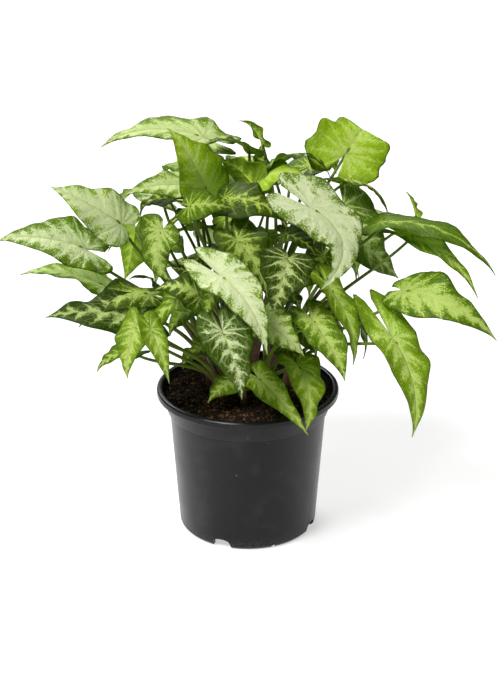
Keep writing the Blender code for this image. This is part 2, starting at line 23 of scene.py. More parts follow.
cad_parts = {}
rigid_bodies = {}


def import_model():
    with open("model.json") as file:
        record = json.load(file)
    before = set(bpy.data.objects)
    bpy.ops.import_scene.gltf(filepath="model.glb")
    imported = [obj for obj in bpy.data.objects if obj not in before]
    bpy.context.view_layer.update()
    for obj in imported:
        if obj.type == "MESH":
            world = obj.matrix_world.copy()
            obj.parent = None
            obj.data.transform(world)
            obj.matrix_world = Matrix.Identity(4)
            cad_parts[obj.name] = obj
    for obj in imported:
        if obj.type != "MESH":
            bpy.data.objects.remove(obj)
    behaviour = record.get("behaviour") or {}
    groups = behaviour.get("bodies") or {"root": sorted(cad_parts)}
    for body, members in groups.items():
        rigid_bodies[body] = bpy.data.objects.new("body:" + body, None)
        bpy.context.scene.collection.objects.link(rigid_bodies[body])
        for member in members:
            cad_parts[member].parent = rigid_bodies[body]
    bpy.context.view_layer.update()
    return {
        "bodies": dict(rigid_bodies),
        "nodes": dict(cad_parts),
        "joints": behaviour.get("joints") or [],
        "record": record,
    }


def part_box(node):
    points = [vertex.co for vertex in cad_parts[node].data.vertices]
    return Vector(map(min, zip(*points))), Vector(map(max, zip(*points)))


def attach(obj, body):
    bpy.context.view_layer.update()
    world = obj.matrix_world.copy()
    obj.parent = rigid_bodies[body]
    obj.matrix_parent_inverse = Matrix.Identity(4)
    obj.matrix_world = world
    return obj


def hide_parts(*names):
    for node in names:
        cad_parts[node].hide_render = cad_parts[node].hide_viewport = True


bl_info = {
    "name": "Arrowhead plant in a nursery pot",
    "version": (1, 0, 0),
    "blender": (4, 5, 0),
    "location": "View3D > Sidebar > Plant",
    "description": "Dresses the packed arrowhead plant with finer pieces and finishes",
    "category": "Add Mesh",
}

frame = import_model()

MM = 0.001
UP = Vector((0, 0, 1))

# Pot, whose height and width come from the frame
POT_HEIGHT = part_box("pot")[1].z / MM
LIP_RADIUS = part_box("pot")[1].x / MM
LIP_HEIGHT = 5.4
LIP_WIDTH = 4.2
LIP_DEPTH = 2.4
LIP_SLOPE = 0.3
COLLAR_TOP_RADIUS = 60.3
COLLAR_FOOT_RADIUS = 57.6
COLLAR_FOOT_Z = 90
COLLAR_SLOPE = 0.6
INNER_SLOPE = 0.8
INNER_DRAFT = 0.2
BODY_TOP_RADIUS = 55.8
BODY_FOOT_RADIUS = 49.6
FOOT_RADIUS = 47.5
FOOT_WIDTH = 3.2
FOOT_CHAMFER = 2.2
FOOT_DRAFT = 0.4
WALL = 1.5
FLOOR_Z = 8
FLOOR_THICKNESS = 2
POT_SEGMENTS = 128

# Radii of the rounded corners of the pot's profile, by their number in it
CORNER_RADII = {3: 0.4, 4: 1.2, 5: 0.5, 6: 0.7, 7: 0.8, 8: 1.2, 9: 2, 10: 2, 11: 1, 12: 1}
CORNER_STEPS = 3

# Openings round the pot's base, as angles from the front, to the right
NOTCH_ANGLES = (-22.5, 67.5, 157.5, 247.5)
NOTCH_WIDTH = 14
NOTCH_HEIGHT = 7
NICK_ANGLES = (22.5, 112.5, 202.5, 292.5)
NICK_WIDTH = 3.2
NICK_HEIGHT = 2.4
DRAIN_HOLES = 8
DRAIN_CIRCLE_RADIUS = 33
DRAIN_HOLE_RADIUS = 4
DRAIN_HOLE_SIDES = 24

# Soil
SOIL_EDGE_Z = 102.5
SOIL_MOUND = 2
SOIL_LUMP = 0.9
SOIL_LUMP_WIDTH = 9

# Sheet on which crumbs and fibres are strewn
CRUMB_BED_STEP = 2
CRUMB_BED_SIDES = 48
CRUMB_BED_MARGIN = 1

# Crumbs and fibres, which Geometry Nodes make in metres
CRUMB_LUMPS = 0.0022
CRUMB_SEED = 4
FIBRE_SLIMNESS = 0.045
FIBRE_SEED = 11
PER_SQUARE_METRE = 100.0
STREWN_INPUTS = {"Geometry": ("Geometry", None), "Size": ("Float", 0.003), "Density": ("Float", 10000)}

# Stems
STEM_RADIUS = 3.2
STEM_TOP_SHARE = 0.75
STEM_DEPTH = 12
STEM_SIDES = 6

# Petioles as the part routes them
PETIOLE_FOOT_RADIUS = 1.8
PETIOLE_TOP_RADIUS = 1.1
PETIOLE_SIDES = 4
PETIOLE_STEPS = 6
PETIOLE_SET_OUT = 1.6
PETIOLE_LOWEST = 3.5
PETIOLE_BELOW_TOP = 2.5
PETIOLE_OVERLAP = 0.06
PETIOLE_CLEARANCE = 2.6
PETIOLE_SPREAD = 0.12
PETIOLE_RISE = 0.5
ARRIVING_OUT = 0.4
ARRIVING_ALONG = 0.2
ARRIVING_SHARE = 0.32
ROUTE_STEPS = 40
ROUTE_STEPS_AT_BLADE = 6

# Ways to bend a petiole aside and up, in the order in which they are tried
SWAYS = sorted(
    ((aside, up) for aside in range(-24, 25, 4) for up in range(-16, 17, 4)),
    key=lambda sway: (abs(sway[0]) + abs(sway[1]), sway),
)

# Stems and petioles as they are drawn
STALK_STEPS = 30
STALK_SIDES = 12
STALK_GROOVE = 0.22
STALK_SLIMNESS = 0.9
SHEATH_WIDENING = 1.3
SHEATH_SHARE = 0.15
RUN_ON_SHARES = (0.12, 0.2, 0.3)
RUN_ON_THINNING = (0.7, 0.5, 0.3)
RUN_ON_DEPTH = 0.7
RUN_ON_FULL_WIDTH = 30
STEM_STEPS = 16
STEM_JOINTS = 4
JOINT_SWELLING = 0.25
STEM_INSET = 0.2

# Blades as the part holds them
SECTION_STEPS = 2
FACING_UP = 0.75
FACING_OUT = 0.65
FOLD_EASE = 0.55
WAVES = 1.8
WAVE_HEIGHT = 2.2

# Blades as they are drawn
VEIN_PAIRS = 10
STEPS_A_VEIN = 4
LOBE_RIBS = 3
LOBE_VEINS_SHARE = 0.22
VEIN_SWEEP = 0.26
VEIN_CURVE = 1.3
BLADE_ROWS = (0, 0.035, 0.09, 0.18, 0.3, 0.43, 0.56, 0.69, 0.81, 0.91, 1)
RIPPLES = 4.5
RIPPLE_HEIGHT = 2.2
CRINKLES = 3.7
CRINKLE_HEIGHT = 0.35
MARGIN_SHARE = 0.55
MARGIN_UNEVENNESS = 0.3
TIP_DROOP = 2
DROOP_START = 0.75
RIDGE_WIDTH = 0.9
RIDGE_SINK = 0.2
RIDGE_HEIGHT = 0.9
WIDE_GAP = 7
SWELL_FULLNESS = 0.7
FULL_WIDTH = 36
TONE_RANGE = 0.05
TONE_SEED = 7

# Stage
FLOOR_REACH = 6000
KEY_TOWARDS = (0.5, 0.5, -1)
KEY_SPREAD = 25
BACK_TOWARDS = (0.25, -0.8, -0.9)
BACK_SPREAD = 40
WHITE = (1, 1, 1, 1)


class Rib(NamedTuple):
    """A line across half a blade: its root and its end along the midrib, and how far out it ends.

    Along the midrib 1 is the tip, and -1 is the end of the basal lobe. Outwards 1 is the half width.
    """

    root: float
    along: float
    out: float


BLADE_RIBS = (
    Rib(0, -0.82, 0.16),
    Rib(0, -1, 0.5),
    Rib(0, -0.55, 0.88),
    Rib(0.03, 0.03, 1),
    Rib(0.18, 0.28, 0.9),
    Rib(0.38, 0.52, 0.62),
    Rib(0.6, 0.75, 0.3),
    Rib(0.82, 0.9, 0.09),
    Rib(1, 1, 0),
)


class Shoot(NamedTuple):
    """Where a stem leaves the soil, and how far it stands above it."""

    x: float
    y: float
    height: float


SHOOTS = {
    "shoot_left": Shoot(-26, 4, 14),
    "shoot_front_left": Shoot(-19, -14, 12),
    "shoot_front": Shoot(-3, -24, 12),
    "shoot_front_right": Shoot(14, -17, 12),
    "shoot_right": Shoot(27, -1, 15),
    "shoot_upper_right": Shoot(14, 14, 20),
    "shoot_middle": Shoot(-1, 0, 24),
    "shoot_upper_left": Shoot(-13, 18, 20),
    "shoot_back": Shoot(4, 32, 16),
}


class Look(NamedTuple):
    """A blade's colouring, each from 0 to 1.

    depth runs from a young lime green to a deep one. spread is how far the pale middle reaches towards the
    margin. cream runs from a pale lime middle to a creamy white one. veins is how clear the pale veins are.
    """

    depth: float
    spread: float
    cream: float
    veins: float


# green, deep and olive go mostly to leaves deep inside the plant. Each is partly the leaf's own darker
# green and partly painted shade, made darker for the shade that falls inside the foliage.
LOOKS = {
    "cream": Look(0.4, 0.98, 1.0, 0.4),
    "lime": Look(0.1, 1.8, 0.95, 0.15),
    "stippled": Look(0.48, 0.6, 0.3, 0.3),
    "pale": Look(0.36, 0.76, 0.62, 0.4),
    "herringbone": Look(0.42, 0.72, 0.95, 0.55),
    "streaked": Look(0.66, 0.34, 0.6, 0.95),
    "green": Look(0.56, 0.3, 0.15, 0.5),
    "fresh": Look(0.3, 0.5, 0.25, 0.5),
    # glowing and plain go to leaves lit from behind. Their bright lime is partly the leaves' own young
    # green and partly a painted glow of the light that shines through them.
    "glowing": Look(0.04, 0.42, 0.15, 0.8),
    "plain_and_painted_glow": Look(0.02, 0.55, 0.2, 0.12),
    "veined": Look(0.94, 0.24, 0.5, 0.9),
    "brushed": Look(0.84, 0.28, 0.9, 1),
    "dusky": Look(0.82, 0.4, 0.25, 0.45),
    "sheen": Look(0.66, 0, 0.2, 0.12),
    "deep": Look(0.94, 0.16, 0.1, 0.45),
    "olive": Look(1.0, 0.0, 0.0, 0.3),
}


class Leaf(NamedTuple):
    """A blade from the point where its petiole joins it to its tip.

    turn rolls the blade about the line between the two, from facing up and outwards. bow is how far its
    middle rises off that line, and bend how far it swings aside in the blade's own plane. fold lifts its
    halves like a V, or drops them if it is negative. lobe is how far the basal lobes reach back, as a
    share of the length. look names its colouring.
    """

    at: tuple
    tip: tuple
    width: float
    look: str
    turn: float = 0
    bow: float = 6
    bend: float = 0
    fold: float = 12
    lobe: float = 0.3


LEAVES = {
    "shoot_left": (
        Leaf((-86, -6, 230), (-133, -12, 259), 38, "lime", turn=-62, bow=4, fold=6, lobe=0.18),
        Leaf((-110, -20, 217), (-168, -35, 229), 44, "herringbone", turn=-34, bow=6, fold=8),
        Leaf((-99, -5, 184), (-157, -10, 196), 34, "pale", turn=-8, bow=5),
        Leaf((-79, 30, 215), (-88, 30, 175), 32, "green", turn=90, bow=4),
        Leaf((-58, -12, 228), (-50, -22, 192), 36, "stippled", turn=-5, bow=4, bend=-6, fold=14, lobe=0.16),
        Leaf((-62, 14, 176), (-84, 12, 184), 26, "olive", bow=5, fold=-14),
    ),
    "shoot_front_left": (
        Leaf((-72, -38, 174), (-137, -46, 178), 40, "veined", turn=-26, bow=7, fold=10),
        Leaf((-67, -20, 184), (-115, -45, 170), 32, "dusky", turn=-25, bow=11, fold=-10),
        Leaf((-73, -64, 179), (-80, -78, 146), 24, "fresh", turn=-15, bow=4),
        Leaf((-77, -58, 158), (-101, -72, 149), 22, "green", bow=4),
        Leaf((-63, -76, 181), (-51, -90, 148), 16, "fresh", turn=-30, bow=3, fold=22),
        Leaf((-46, -50, 192), (-65, -60, 163), 30, "green", turn=10, bow=5),
        Leaf((-31, -55, 196), (-62, -55, 201), 28, "dusky", bow=8, fold=-12),
        Leaf((-30, -16, 142), (-46, -22, 129), 24, "green", bow=4, fold=10),
        Leaf((-36, -28, 176), (-54, -38, 160), 26, "green", bow=4, fold=12),
    ),
    "shoot_front": (
        Leaf((-16, -94, 187), (-3, -118, 149), 34, "brushed", turn=-12, bow=6, fold=12, lobe=0.38),
        Leaf((-18, -74, 218), (13, -108, 176), 30, "cream", turn=-5, bow=7, bend=4, fold=14, lobe=0.42),
        Leaf((-8, -30, 124), (-28, -46, 114), 26, "green", bow=4, fold=8),
        Leaf((-19, -60, 206), (-27, -66, 185), 18, "green", bow=4, fold=20),
        Leaf((-33, -18, 192), (-52, -18, 203), 26, "olive", bow=4, fold=-10),
    ),
    "shoot_front_right": (
        Leaf((9, -64, 184), (38, -80, 163), 30, "pale", turn=15, bow=6, fold=10, lobe=0.12),
        Leaf((27, -55, 223), (16, -70, 189), 38, "veined", turn=-5, bow=3, fold=8, lobe=0.14),
        Leaf((7, -48, 134), (41, -88, 109), 22, "fresh", turn=20, bow=9, fold=14),
        Leaf((34, -50, 144), (39, -82, 108), 31, "fresh", turn=-10, bow=9, fold=10, lobe=0.2),
        Leaf((43, -58, 181), (65, -84, 147), 30, "stippled", turn=10, bow=4, fold=14),
        Leaf((32, -30, 163), (48, -40, 144), 26, "olive", bow=4, fold=14),
        Leaf((26, -24, 146), (42, -36, 128), 22, "deep", bow=4, fold=10),
    ),
    "shoot_right": (
        Leaf((103, -48, 198), (165, -76, 173), 38, "stippled", turn=30, bow=11, fold=-8, lobe=0.15),
        Leaf((96, -68, 172), (109, -98, 112), 32, "fresh", turn=15, bow=9, bend=3, fold=14, lobe=0.5),
        Leaf((55, -38, 196), (72, -52, 144), 22, "fresh", turn=10, bow=8, fold=20),
        Leaf((63, -20, 179), (81, -25, 137), 22, "deep", bow=7, fold=16),
        Leaf((90, -12, 233), (166, -48, 209), 36, "sheen", turn=12, bow=13, fold=-6, lobe=0.12),
        Leaf((108, -15, 225), (155, -45, 191), 22, "fresh", turn=20, bow=8, fold=14),
        Leaf((118, 20, 226), (110, 20, 245), 7, "fresh", bow=1, fold=50, lobe=0.1),
        Leaf((51, 6, 164), (67, -2, 142), 24, "olive", bow=4, fold=12),
    ),
    "shoot_upper_right": (
        Leaf((41, -30, 250), (48, -58, 201), 42, "cream", turn=5, bow=8, bend=17, fold=10, lobe=0.3),
        Leaf((66, 13, 237), (107, 4, 187), 54, "streaked", turn=40, bow=7, bend=-13, fold=10, lobe=0.25),
        Leaf((69, 50, 263), (81, 90, 262), 56, "glowing", turn=5, bow=14, fold=4, lobe=0.32),
        Leaf((68, 20, 254), (98, 10, 226), 20, "dusky", bow=9, fold=-20),
        Leaf((17, 36, 261), (59, 30, 253), 36, "dusky", turn=15, bow=11, fold=-8, lobe=0.15),
        Leaf((52, -8, 207), (37, -16, 186), 24, "deep", bow=3, fold=14),
        Leaf((75, 60, 212), (118, 95, 190), 38, "herringbone", bow=9, fold=8),
        Leaf((44, 64, 250), (66, 94, 236), 34, "green", bow=8, fold=8),
        Leaf((50, 24, 206), (78, 14, 180), 34, "dusky", bow=6, fold=10),
        Leaf((40, 16, 222), (62, 4, 210), 28, "deep", bow=6, fold=8),
    ),
    "shoot_middle": (
        Leaf((-7, -38, 230), (14, -52, 193), 36, "dusky", turn=-10, bow=6, fold=16),
        Leaf((-39, -28, 250), (-9, -34, 250), 24, "green", turn=20, bow=8, fold=-10),
        Leaf((-16, -18, 252), (28, -30, 238), 34, "deep", bow=10, fold=-8, lobe=0.14),
        Leaf((10, 15, 255), (45, 10, 252), 38, "glowing", turn=30, bow=9, fold=-8),
        Leaf((5, 20, 249), (-21, 20, 268), 30, "deep", turn=15, bow=5),
        Leaf((25, -25, 229), (46, -35, 218), 24, "olive", bow=3, fold=10),
        Leaf((-22, 8, 206), (-44, -8, 186), 28, "dusky", bow=6, fold=10),
        Leaf((18, 0, 182), (38, -12, 162), 28, "deep", bow=6, fold=10),
        Leaf((-14, 6, 232), (4, -8, 218), 26, "green", bow=5, fold=10),
        Leaf((10, 6, 234), (28, -8, 222), 26, "green", bow=5, fold=10),
    ),
    "shoot_upper_left": (
        Leaf((-31, 60, 272), (-103, 40, 272), 36, "pale", turn=-52, bow=4, bend=-9, fold=8),
        Leaf((-28, 10, 248), (-53, 0, 296), 44, "plain_and_painted_glow", turn=175, bow=5, fold=10),
        Leaf((-34, 20, 247), (-85, 0, 249), 34, "pale", turn=-55, bow=6, fold=10),
        Leaf((-53, 18, 240), (-76, 20, 226), 30, "deep", turn=-15, bow=6, fold=16),
        Leaf((-36, 0, 236), (-55, -6, 219), 28, "dusky", bow=5, fold=12),
        Leaf((3, 50, 265), (-32, 40, 272), 34, "deep", turn=-30, bow=6, fold=8, lobe=0.14),
        Leaf((-60, 70, 225), (-98, 112, 205), 38, "herringbone", bow=9, fold=8),
        Leaf((-66, 60, 192), (-106, 94, 176), 36, "green", bow=8, fold=8),
        Leaf((-38, 44, 252), (-62, 78, 240), 34, "pale", bow=7, fold=8),
        Leaf((-34, 28, 216), (-60, 14, 202), 28, "deep", bow=6, fold=10),
    ),
    "shoot_back": (
        Leaf((10, 70, 267), (-6, 75, 281), 14, "dusky", bow=3, fold=20),
        Leaf((16, 66, 248), (10, 68, 266), 26, "dusky", turn=160, bow=3),
        Leaf((-25, 84, 222), (-42, 117, 203), 38, "herringbone", bow=9, fold=8),
        Leaf((30, 80, 238), (44, 118, 222), 40, "cream", bow=9, fold=8),
        Leaf((-45, 72, 172), (-72, 110, 142), 36, "veined", bow=9, fold=8),
        Leaf((5, 76, 168), (10, 118, 138), 36, "herringbone", bow=9, fold=8),
        Leaf((55, 75, 178), (86, 112, 148), 36, "green", bow=9, fold=8),
        Leaf((-2, 62, 236), (-2, 108, 244), 38, "pale", bow=8, fold=8),
        Leaf((-22, 70, 196), (-30, 112, 172), 34, "lime", bow=9, fold=8),
        Leaf((-24, 46, 190), (-40, 58, 158), 32, "green", bow=5, fold=10),
        Leaf((32, 46, 186), (46, 58, 152), 34, "fresh", bow=5, fold=10),
        Leaf((3, 52, 202), (6, 62, 166), 34, "dusky", bow=5, fold=10),
    ),
}


ColourProperty = partial(FloatVectorProperty, subtype="COLOR", size=3, min=0, max=1)
ShareProperty = partial(FloatProperty, subtype="FACTOR", min=0, max=1)
LengthProperty = partial(FloatProperty, unit="LENGTH")


class PotSettings(PropertyGroup):
    """Finish of the nursery pot."""

    plastic: ColourProperty(
        name="Plastic", description="Colour of the moulded plastic", default=(0.008, 0.008, 0.0085)
    )
    roughness: ShareProperty(name="Roughness", description="How dull the plastic is", default=0.3)
    dust: ShareProperty(name="Dust", description="How much dust and scuffing shows", default=0.5)


class SoilSettings(PropertyGroup):
    """Crumbs and fibres of the potting soil."""

    peat: ColourProperty(
        name="Peat", description="Colour of the moist peat", default=(0.012, 0.0055, 0.0028)
    )
    bark: ColourProperty(
        name="Bark", description="Colour of the paler bark crumbs and fibres", default=(0.3, 0.17, 0.08)
    )
    crumb_size: LengthProperty(
        name="Crumb size", description="Width of the largest crumbs", min=0.0005, max=0.01, default=0.0034
    )
    fibre_length: LengthProperty(
        name="Fibre length", description="Length of the longest fibres", min=0.001, max=0.02, default=0.007
    )
    crumbs: IntProperty(
        name="Crumbs",
        description="Crumbs on each square decimetre of soil",
        min=0,
        max=8000,
        default=4600,
    )
    fibres: IntProperty(
        name="Fibres",
        description="Fibres on each square decimetre of soil",
        min=0,
        max=2000,
        default=520,
    )


class FoliageSettings(PropertyGroup):
    """Sizes and colours of the blades and stalks."""

    thickness: LengthProperty(
        name="Thickness",
        description="Thickness of a blade between its veins",
        min=0.0002,
        max=0.002,
        default=0.0005,
    )
    relief: LengthProperty(
        name="Relief",
        description="How far the blade swells between its veins",
        min=0,
        max=0.002,
        default=0.0004,
    )
    lime: ColourProperty(
        name="Lime", description="Colour of the youngest leaves", default=(0.42, 0.66, 0.012)
    )
    green: ColourProperty(name="Green", description="Colour of grown leaves", default=(0.12, 0.235, 0.004))
    # Partly the darkest leaves' own green and partly painted shade, darker for the shade inside the
    # foliage. The margin and its stipple take this colour too.
    deep_green_and_shade: ColourProperty(
        name="Deep green", description="Colour of the darkest leaves", default=(0.014, 0.036, 0.0005)
    )
    pale_lime: ColourProperty(
        name="Pale lime", description="Pale middle of a young leaf", default=(0.52, 0.67, 0.06)
    )
    cream: ColourProperty(
        name="Cream", description="Pale middle of a variegated leaf", default=(0.84, 0.89, 0.58)
    )
    midrib: ColourProperty(
        name="Midrib", description="Thin line along the middle of a blade", default=(0.6, 0.66, 0.24)
    )
    underside: ColourProperty(
        name="Underside", description="Matt green of the lower faces", default=(0.38, 0.6, 0.03)
    )
    stalk_green: ColourProperty(
        name="Stalk green", description="Colour of the stalks below the blades", default=(0.1, 0.155, 0.007)
    )
    stalk_foot: ColourProperty(
        name="Stalk foot",
        description="Pinkish brown of the sheaths at the crown",
        default=(0.22, 0.12, 0.08),
    )
    glow: ShareProperty(name="Glow", description="Share of light that passes through a blade", default=0.36)


class StageSettings(PropertyGroup):
    """Floor, lights and camera."""

    floor: ColourProperty(name="Floor", description="Colour of the floor", default=(0.5, 0.5, 0.5))
    daylight: FloatProperty(
        name="Daylight",
        description="Strength of the light from all round, which the camera sees as white",
        min=0,
        max=5,
        default=0.08,
    )
    floor_glow: FloatProperty(
        name="Floor glow",
        description="Light that the floor gives off, as a light table does",
        min=0,
        max=2,
        default=0.55,
    )
    key_strength: FloatProperty(
        name="Key light",
        description="Strength of the broad light from the upper left",
        min=0,
        max=20,
        default=3.7,
    )
    back_strength: FloatProperty(
        name="Back light",
        description="Strength of the broad light from behind, which shines through the leaves",
        min=0,
        max=20,
        default=2.6,
    )
    distance: LengthProperty(
        name="Camera distance",
        description="From the camera to the middle of the plant",
        min=0.3,
        max=10,
        default=1.17,
    )
    elevation: FloatProperty(
        name="Camera elevation",
        description="Angle at which the camera looks down",
        subtype="ANGLE",
        min=0,
        max=math.pi / 2,
        default=math.radians(23),
    )
    aim: FloatVectorProperty(
        name="Aim",
        description="Point in the middle of the picture",
        subtype="TRANSLATION",
        size=3,
        default=(0.0016, 0, 0.134),
    )
    lens: FloatProperty(
        name="Lens", description="Focal length in millimetres", min=10, max=300, default=85
    )


# Meshes


def mesh_object(name, points, faces, edges=()):
    """An object from points in millimetres."""
    mesh = bpy.data.meshes.new(name)
    mesh.from_pydata([tuple(Vector(p) * MM) for p in points], edges, faces)
    mesh.update()
    made = bpy.data.objects.new(name, mesh)
    bpy.context.scene.collection.objects.link(made)
    return made


def face_out(obj):
    """Turns a closed mesh's faces outwards."""
    shape = bmesh.new()
    shape.from_mesh(obj.data)
    bmesh.ops.recalc_face_normals(shape, faces=shape.faces)
    shape.to_mesh(obj.data)
    shape.free()


def from_front(angle):
    """The level direction at an angle from the front, towards the right."""
    return Vector((math.sin(math.radians(angle)), -math.cos(math.radians(angle)), 0))


def turned(name, profile, segments):
    """A closed body turned about Z from (radius, height) points. It starts and ends on the axis."""
    points, rings = [], []
    for radius, z in profile:
        count = segments if radius else 1
        rings.append([len(points) + k for k in range(count)])
        for k in range(count):
            angle = 2 * math.pi * k / segments
            points.append((radius * math.cos(angle), radius * math.sin(angle), z))
    faces = []
    for lower, upper in zip(rings, rings[1:]):
        for k in range(segments):
            after = (k + 1) % segments
            if len(lower) == 1:
                faces.append((lower[0], upper[after], upper[k]))
            elif len(upper) == 1:
                faces.append((lower[k], lower[after], upper[0]))
            else:
                faces.append((lower[k], lower[after], upper[after], upper[k]))
    made = mesh_object(name, points, faces)
    face_out(made)
    return made


def prism(name, outline, start, end):
    """A closed body that carries a flat outline from start to end. outline gives points off that line."""
    points = [start + p for p in outline] + [end + p for p in outline]
    count = len(outline)
    sides = [(k, (k + 1) % count, count + (k + 1) % count, count + k) for k in range(count)]
    ends = [tuple(reversed(range(count))), tuple(range(count, 2 * count))]
    made = mesh_object(name, points, sides + ends)
    face_out(made)
    return made


def cut_away(obj, cutters):
    """Cuts an object with others, which are removed."""
    group = bpy.data.collections.new(obj.name + "_cutters")
    bpy.context.scene.collection.children.link(group)
    for cutter in cutters:
        group.objects.link(cutter)
    modifier = obj.modifiers.new("Cut", "BOOLEAN")
    modifier.operation = "DIFFERENCE"
    modifier.operand_type = "COLLECTION"
    modifier.collection = group
    modifier.solver = "EXACT"
    make_plain(obj)
    for cutter in list(group.objects):
        bpy.data.objects.remove(cutter)
    bpy.data.collections.remove(group)


def make_plain(obj):
    """Applies an object's modifiers to its mesh."""
    graph = bpy.context.evaluated_depsgraph_get()
    made = bpy.data.meshes.new_from_object(obj.evaluated_get(graph))
    obj.modifiers.clear()
    old, obj.data = obj.data, made
    made.name = obj.name
    bpy.data.meshes.remove(old)


def dress(obj, node, material=None, sharp_angle=None):
    """Gives a finished piece its material and its body, and hides the node that it stands for."""
    if material:
        obj.data.materials.clear()
        obj.data.materials.append(material)
    obj.data.shade_smooth()
    if sharp_angle:
        obj.data.set_sharp_from_angle(angle=math.radians(sharp_angle))
    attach(obj, "root")
    if node:
        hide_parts(node)


# Node trees


def add(tree, kind, inputs=None, **settings):
    """Adds a node, sets its properties, and sets or links its inputs, which are named or numbered."""
    made = tree.nodes.new(kind)
    for key, value in settings.items():
        setattr(made, key, value)
    for key, value in (inputs or {}).items():
        if isinstance(value, Signal):
            tree.links.new(value.socket, made.inputs[key])
        else:
            made.inputs[key].default_value = value
    return made


def signal(tree, kind, inputs=None, output=0, **settings):
    """Adds a node and returns one of its outputs, which is named or numbered."""
    return Signal(add(tree, kind, inputs, **settings).outputs[output])


class Signal:
    """What a node puts out. Arithmetic on it adds Math nodes to its tree."""

    def __init__(self, socket):
        self.socket = socket
        self.tree = socket.id_data

    def math(self, operation, *others):
        """The result of a Math node on this value and others."""
        values = dict(enumerate((self, *others)))
        return signal(self.tree, "ShaderNodeMath", values, operation=operation)

    def ramp(self, low, high, step="SMOOTHSTEP"):
        """0 below low, 1 above high, and between them a smooth step or a LINEAR one."""
        values = {"Value": self, "From Min": low, "From Max": high}
        return signal(self.tree, "ShaderNodeMapRange", values, interpolation_type=step)

    def split(self, kind="Color"):
        """The three parts of a colour, or of a vector where the kind is XYZ."""
        made = add(self.tree, "ShaderNodeSeparate" + kind, {0: self})
        return [Signal(socket) for socket in made.outputs[:3]]

    def scaled(self, factor):
        """A vector made longer or shorter."""
        values = {0: self, "Scale": factor}
        return signal(self.tree, "ShaderNodeVectorMath", values, operation="SCALE")

    def __add__(self, other):
        return self.math("ADD", other)

    def __sub__(self, other):
        return self.math("SUBTRACT", other)

    def __rsub__(self, other):
        return signal(self.tree, "ShaderNodeMath", {0: other, 1: self}, operation="SUBTRACT")

    def __mul__(self, other):
        return self.math("MULTIPLY", other)


def blend(share, first, second):
    """Two colours mixed by a share of the second. At least one of the three is a signal."""
    tree = next(value.tree for value in (share, first, second) if isinstance(value, Signal))
    values = {0: share}
    for key, colour in ((6, first), (7, second)):
        values[key] = colour if isinstance(colour, Signal) else (*colour, 1)
    return signal(tree, "ShaderNodeMix", values, 2, data_type="RGBA")


def new_tree(name, kind, inputs):
    """A node group, and its inputs' signals by name. inputs gives each one's type and value."""
    tree = bpy.data.node_groups.new(name, kind)
    for title, (what, value) in inputs.items():
        made = tree.interface.new_socket(title, in_out="INPUT", socket_type="NodeSocket" + what)
        if value is not None:
            made.default_value = value
    start = tree.nodes.new("NodeGroupInput")
    return tree, {title: Signal(start.outputs[title]) for title in inputs}


def end_tree(result, name, what):
    """Makes a signal the output of its node group, which is returned."""
    tree = result.tree
    tree.interface.new_socket(name, in_out="OUTPUT", socket_type="NodeSocket" + what)
    tree.links.new(result.socket, tree.nodes.new("NodeGroupOutput").inputs[0])
    return tree


def speckle_group():
    """Small round spots at random places and of random sizes."""
    if "speckle" in bpy.data.node_groups:
        return bpy.data.node_groups["speckle"]
    inputs = {"Place": ("Vector", None), "Spots per metre": ("Float", 500), "Cover": ("Float", 0.2)}
    tree, given = new_tree("speckle", "ShaderNodeTree", inputs)
    cells = {"Vector": given["Place"], "Scale": given["Spots per metre"]}
    spots = add(tree, "ShaderNodeTexVoronoi", cells, feature="F1")
    size = Signal(spots.outputs["Color"]).split()[0]
    radius = size.math("POWER", 3) * given["Cover"]
    inside = radius - Signal(spots.outputs["Distance"])
    return end_tree(inside.ramp(-0.04, 0.06), "Mask", "Float")


def mottle_group():
    """Soft patches between 0 and 1, which can be stretched through their place."""
    if "mottle" in bpy.data.node_groups:
        return bpy.data.node_groups["mottle"]
    inputs = {"Place": ("Vector", None), "Patches per metre": ("Float", 100)}
    inputs |= {"Detail": ("Float", 3), "Contrast": ("Float", 2)}
    tree, given = new_tree("mottle", "ShaderNodeTree", inputs)
    cloud = {"Vector": given["Place"], "Scale": given["Patches per metre"], "Detail": given["Detail"]}
    steep = (signal(tree, "ShaderNodeTexNoise", cloud) - 0.5) * given["Contrast"]
    return end_tree(signal(tree, "ShaderNodeClamp", {0: steep + 0.5}), "Mask", "Float")


def speckled(place, per_metre, cover):
    """A mask of small spots."""
    inputs = {"Place": place, "Spots per metre": per_metre, "Cover": cover}
    return signal(place.tree, "ShaderNodeGroup", inputs, node_tree=speckle_group())


def mottled(place, per_metre, detail, contrast=2):
    """A mask of soft patches."""
    inputs = {"Place": place, "Patches per metre": per_metre, "Detail": detail, "Contrast": contrast}
    return signal(place.tree, "ShaderNodeGroup", inputs, node_tree=mottle_group())


def bumped(height, strength, distance):
    """The normal over a bumpy height, whose bumps are a distance high in metres."""
    inputs = {"Height": height, "Strength": strength, "Distance": distance}
    return signal(height.tree, "ShaderNodeBump", inputs)


def new_material(name):
    """An empty material, and the signal of where a point lies in the object."""
    made = bpy.data.materials.new(name)
    made.use_nodes = True
    made.node_tree.nodes.clear()
    return made, signal(made.node_tree, "ShaderNodeTexCoord", output="Object")


def show(shader):
    """Makes a shader the one that its material shows."""
    output = shader.tree.nodes.new("ShaderNodeOutputMaterial")
    shader.tree.links.new(shader.socket, output.inputs[0])


def principled(material, values):
    """Gives a material a Principled BSDF with these values, and returns the material."""
    show(signal(material.node_tree, "ShaderNodeBsdfPrincipled", values))
    return material


# Pot


def rounded(profile, corners):
    """A profile whose corners, given by number and radius, are replaced by short arcs."""
    made = []
    for k, (radius, z) in enumerate(profile):
        if k not in corners:
            made.append((radius, z))
            continue
        here = Vector((radius, z))
        before, after = Vector(profile[k - 1]), Vector(profile[k + 1])
        size = min(corners[k], (before - here).length * 0.48, (after - here).length * 0.48)
        first = here + (before - here).normalized() * size
        last = here + (after - here).normalized() * size
        for step in range(CORNER_STEPS + 1):
            t = step / CORNER_STEPS
            made.append(tuple(first * (1 - t) ** 2 + here * (2 * t * (1 - t)) + last * t * t))
    return made


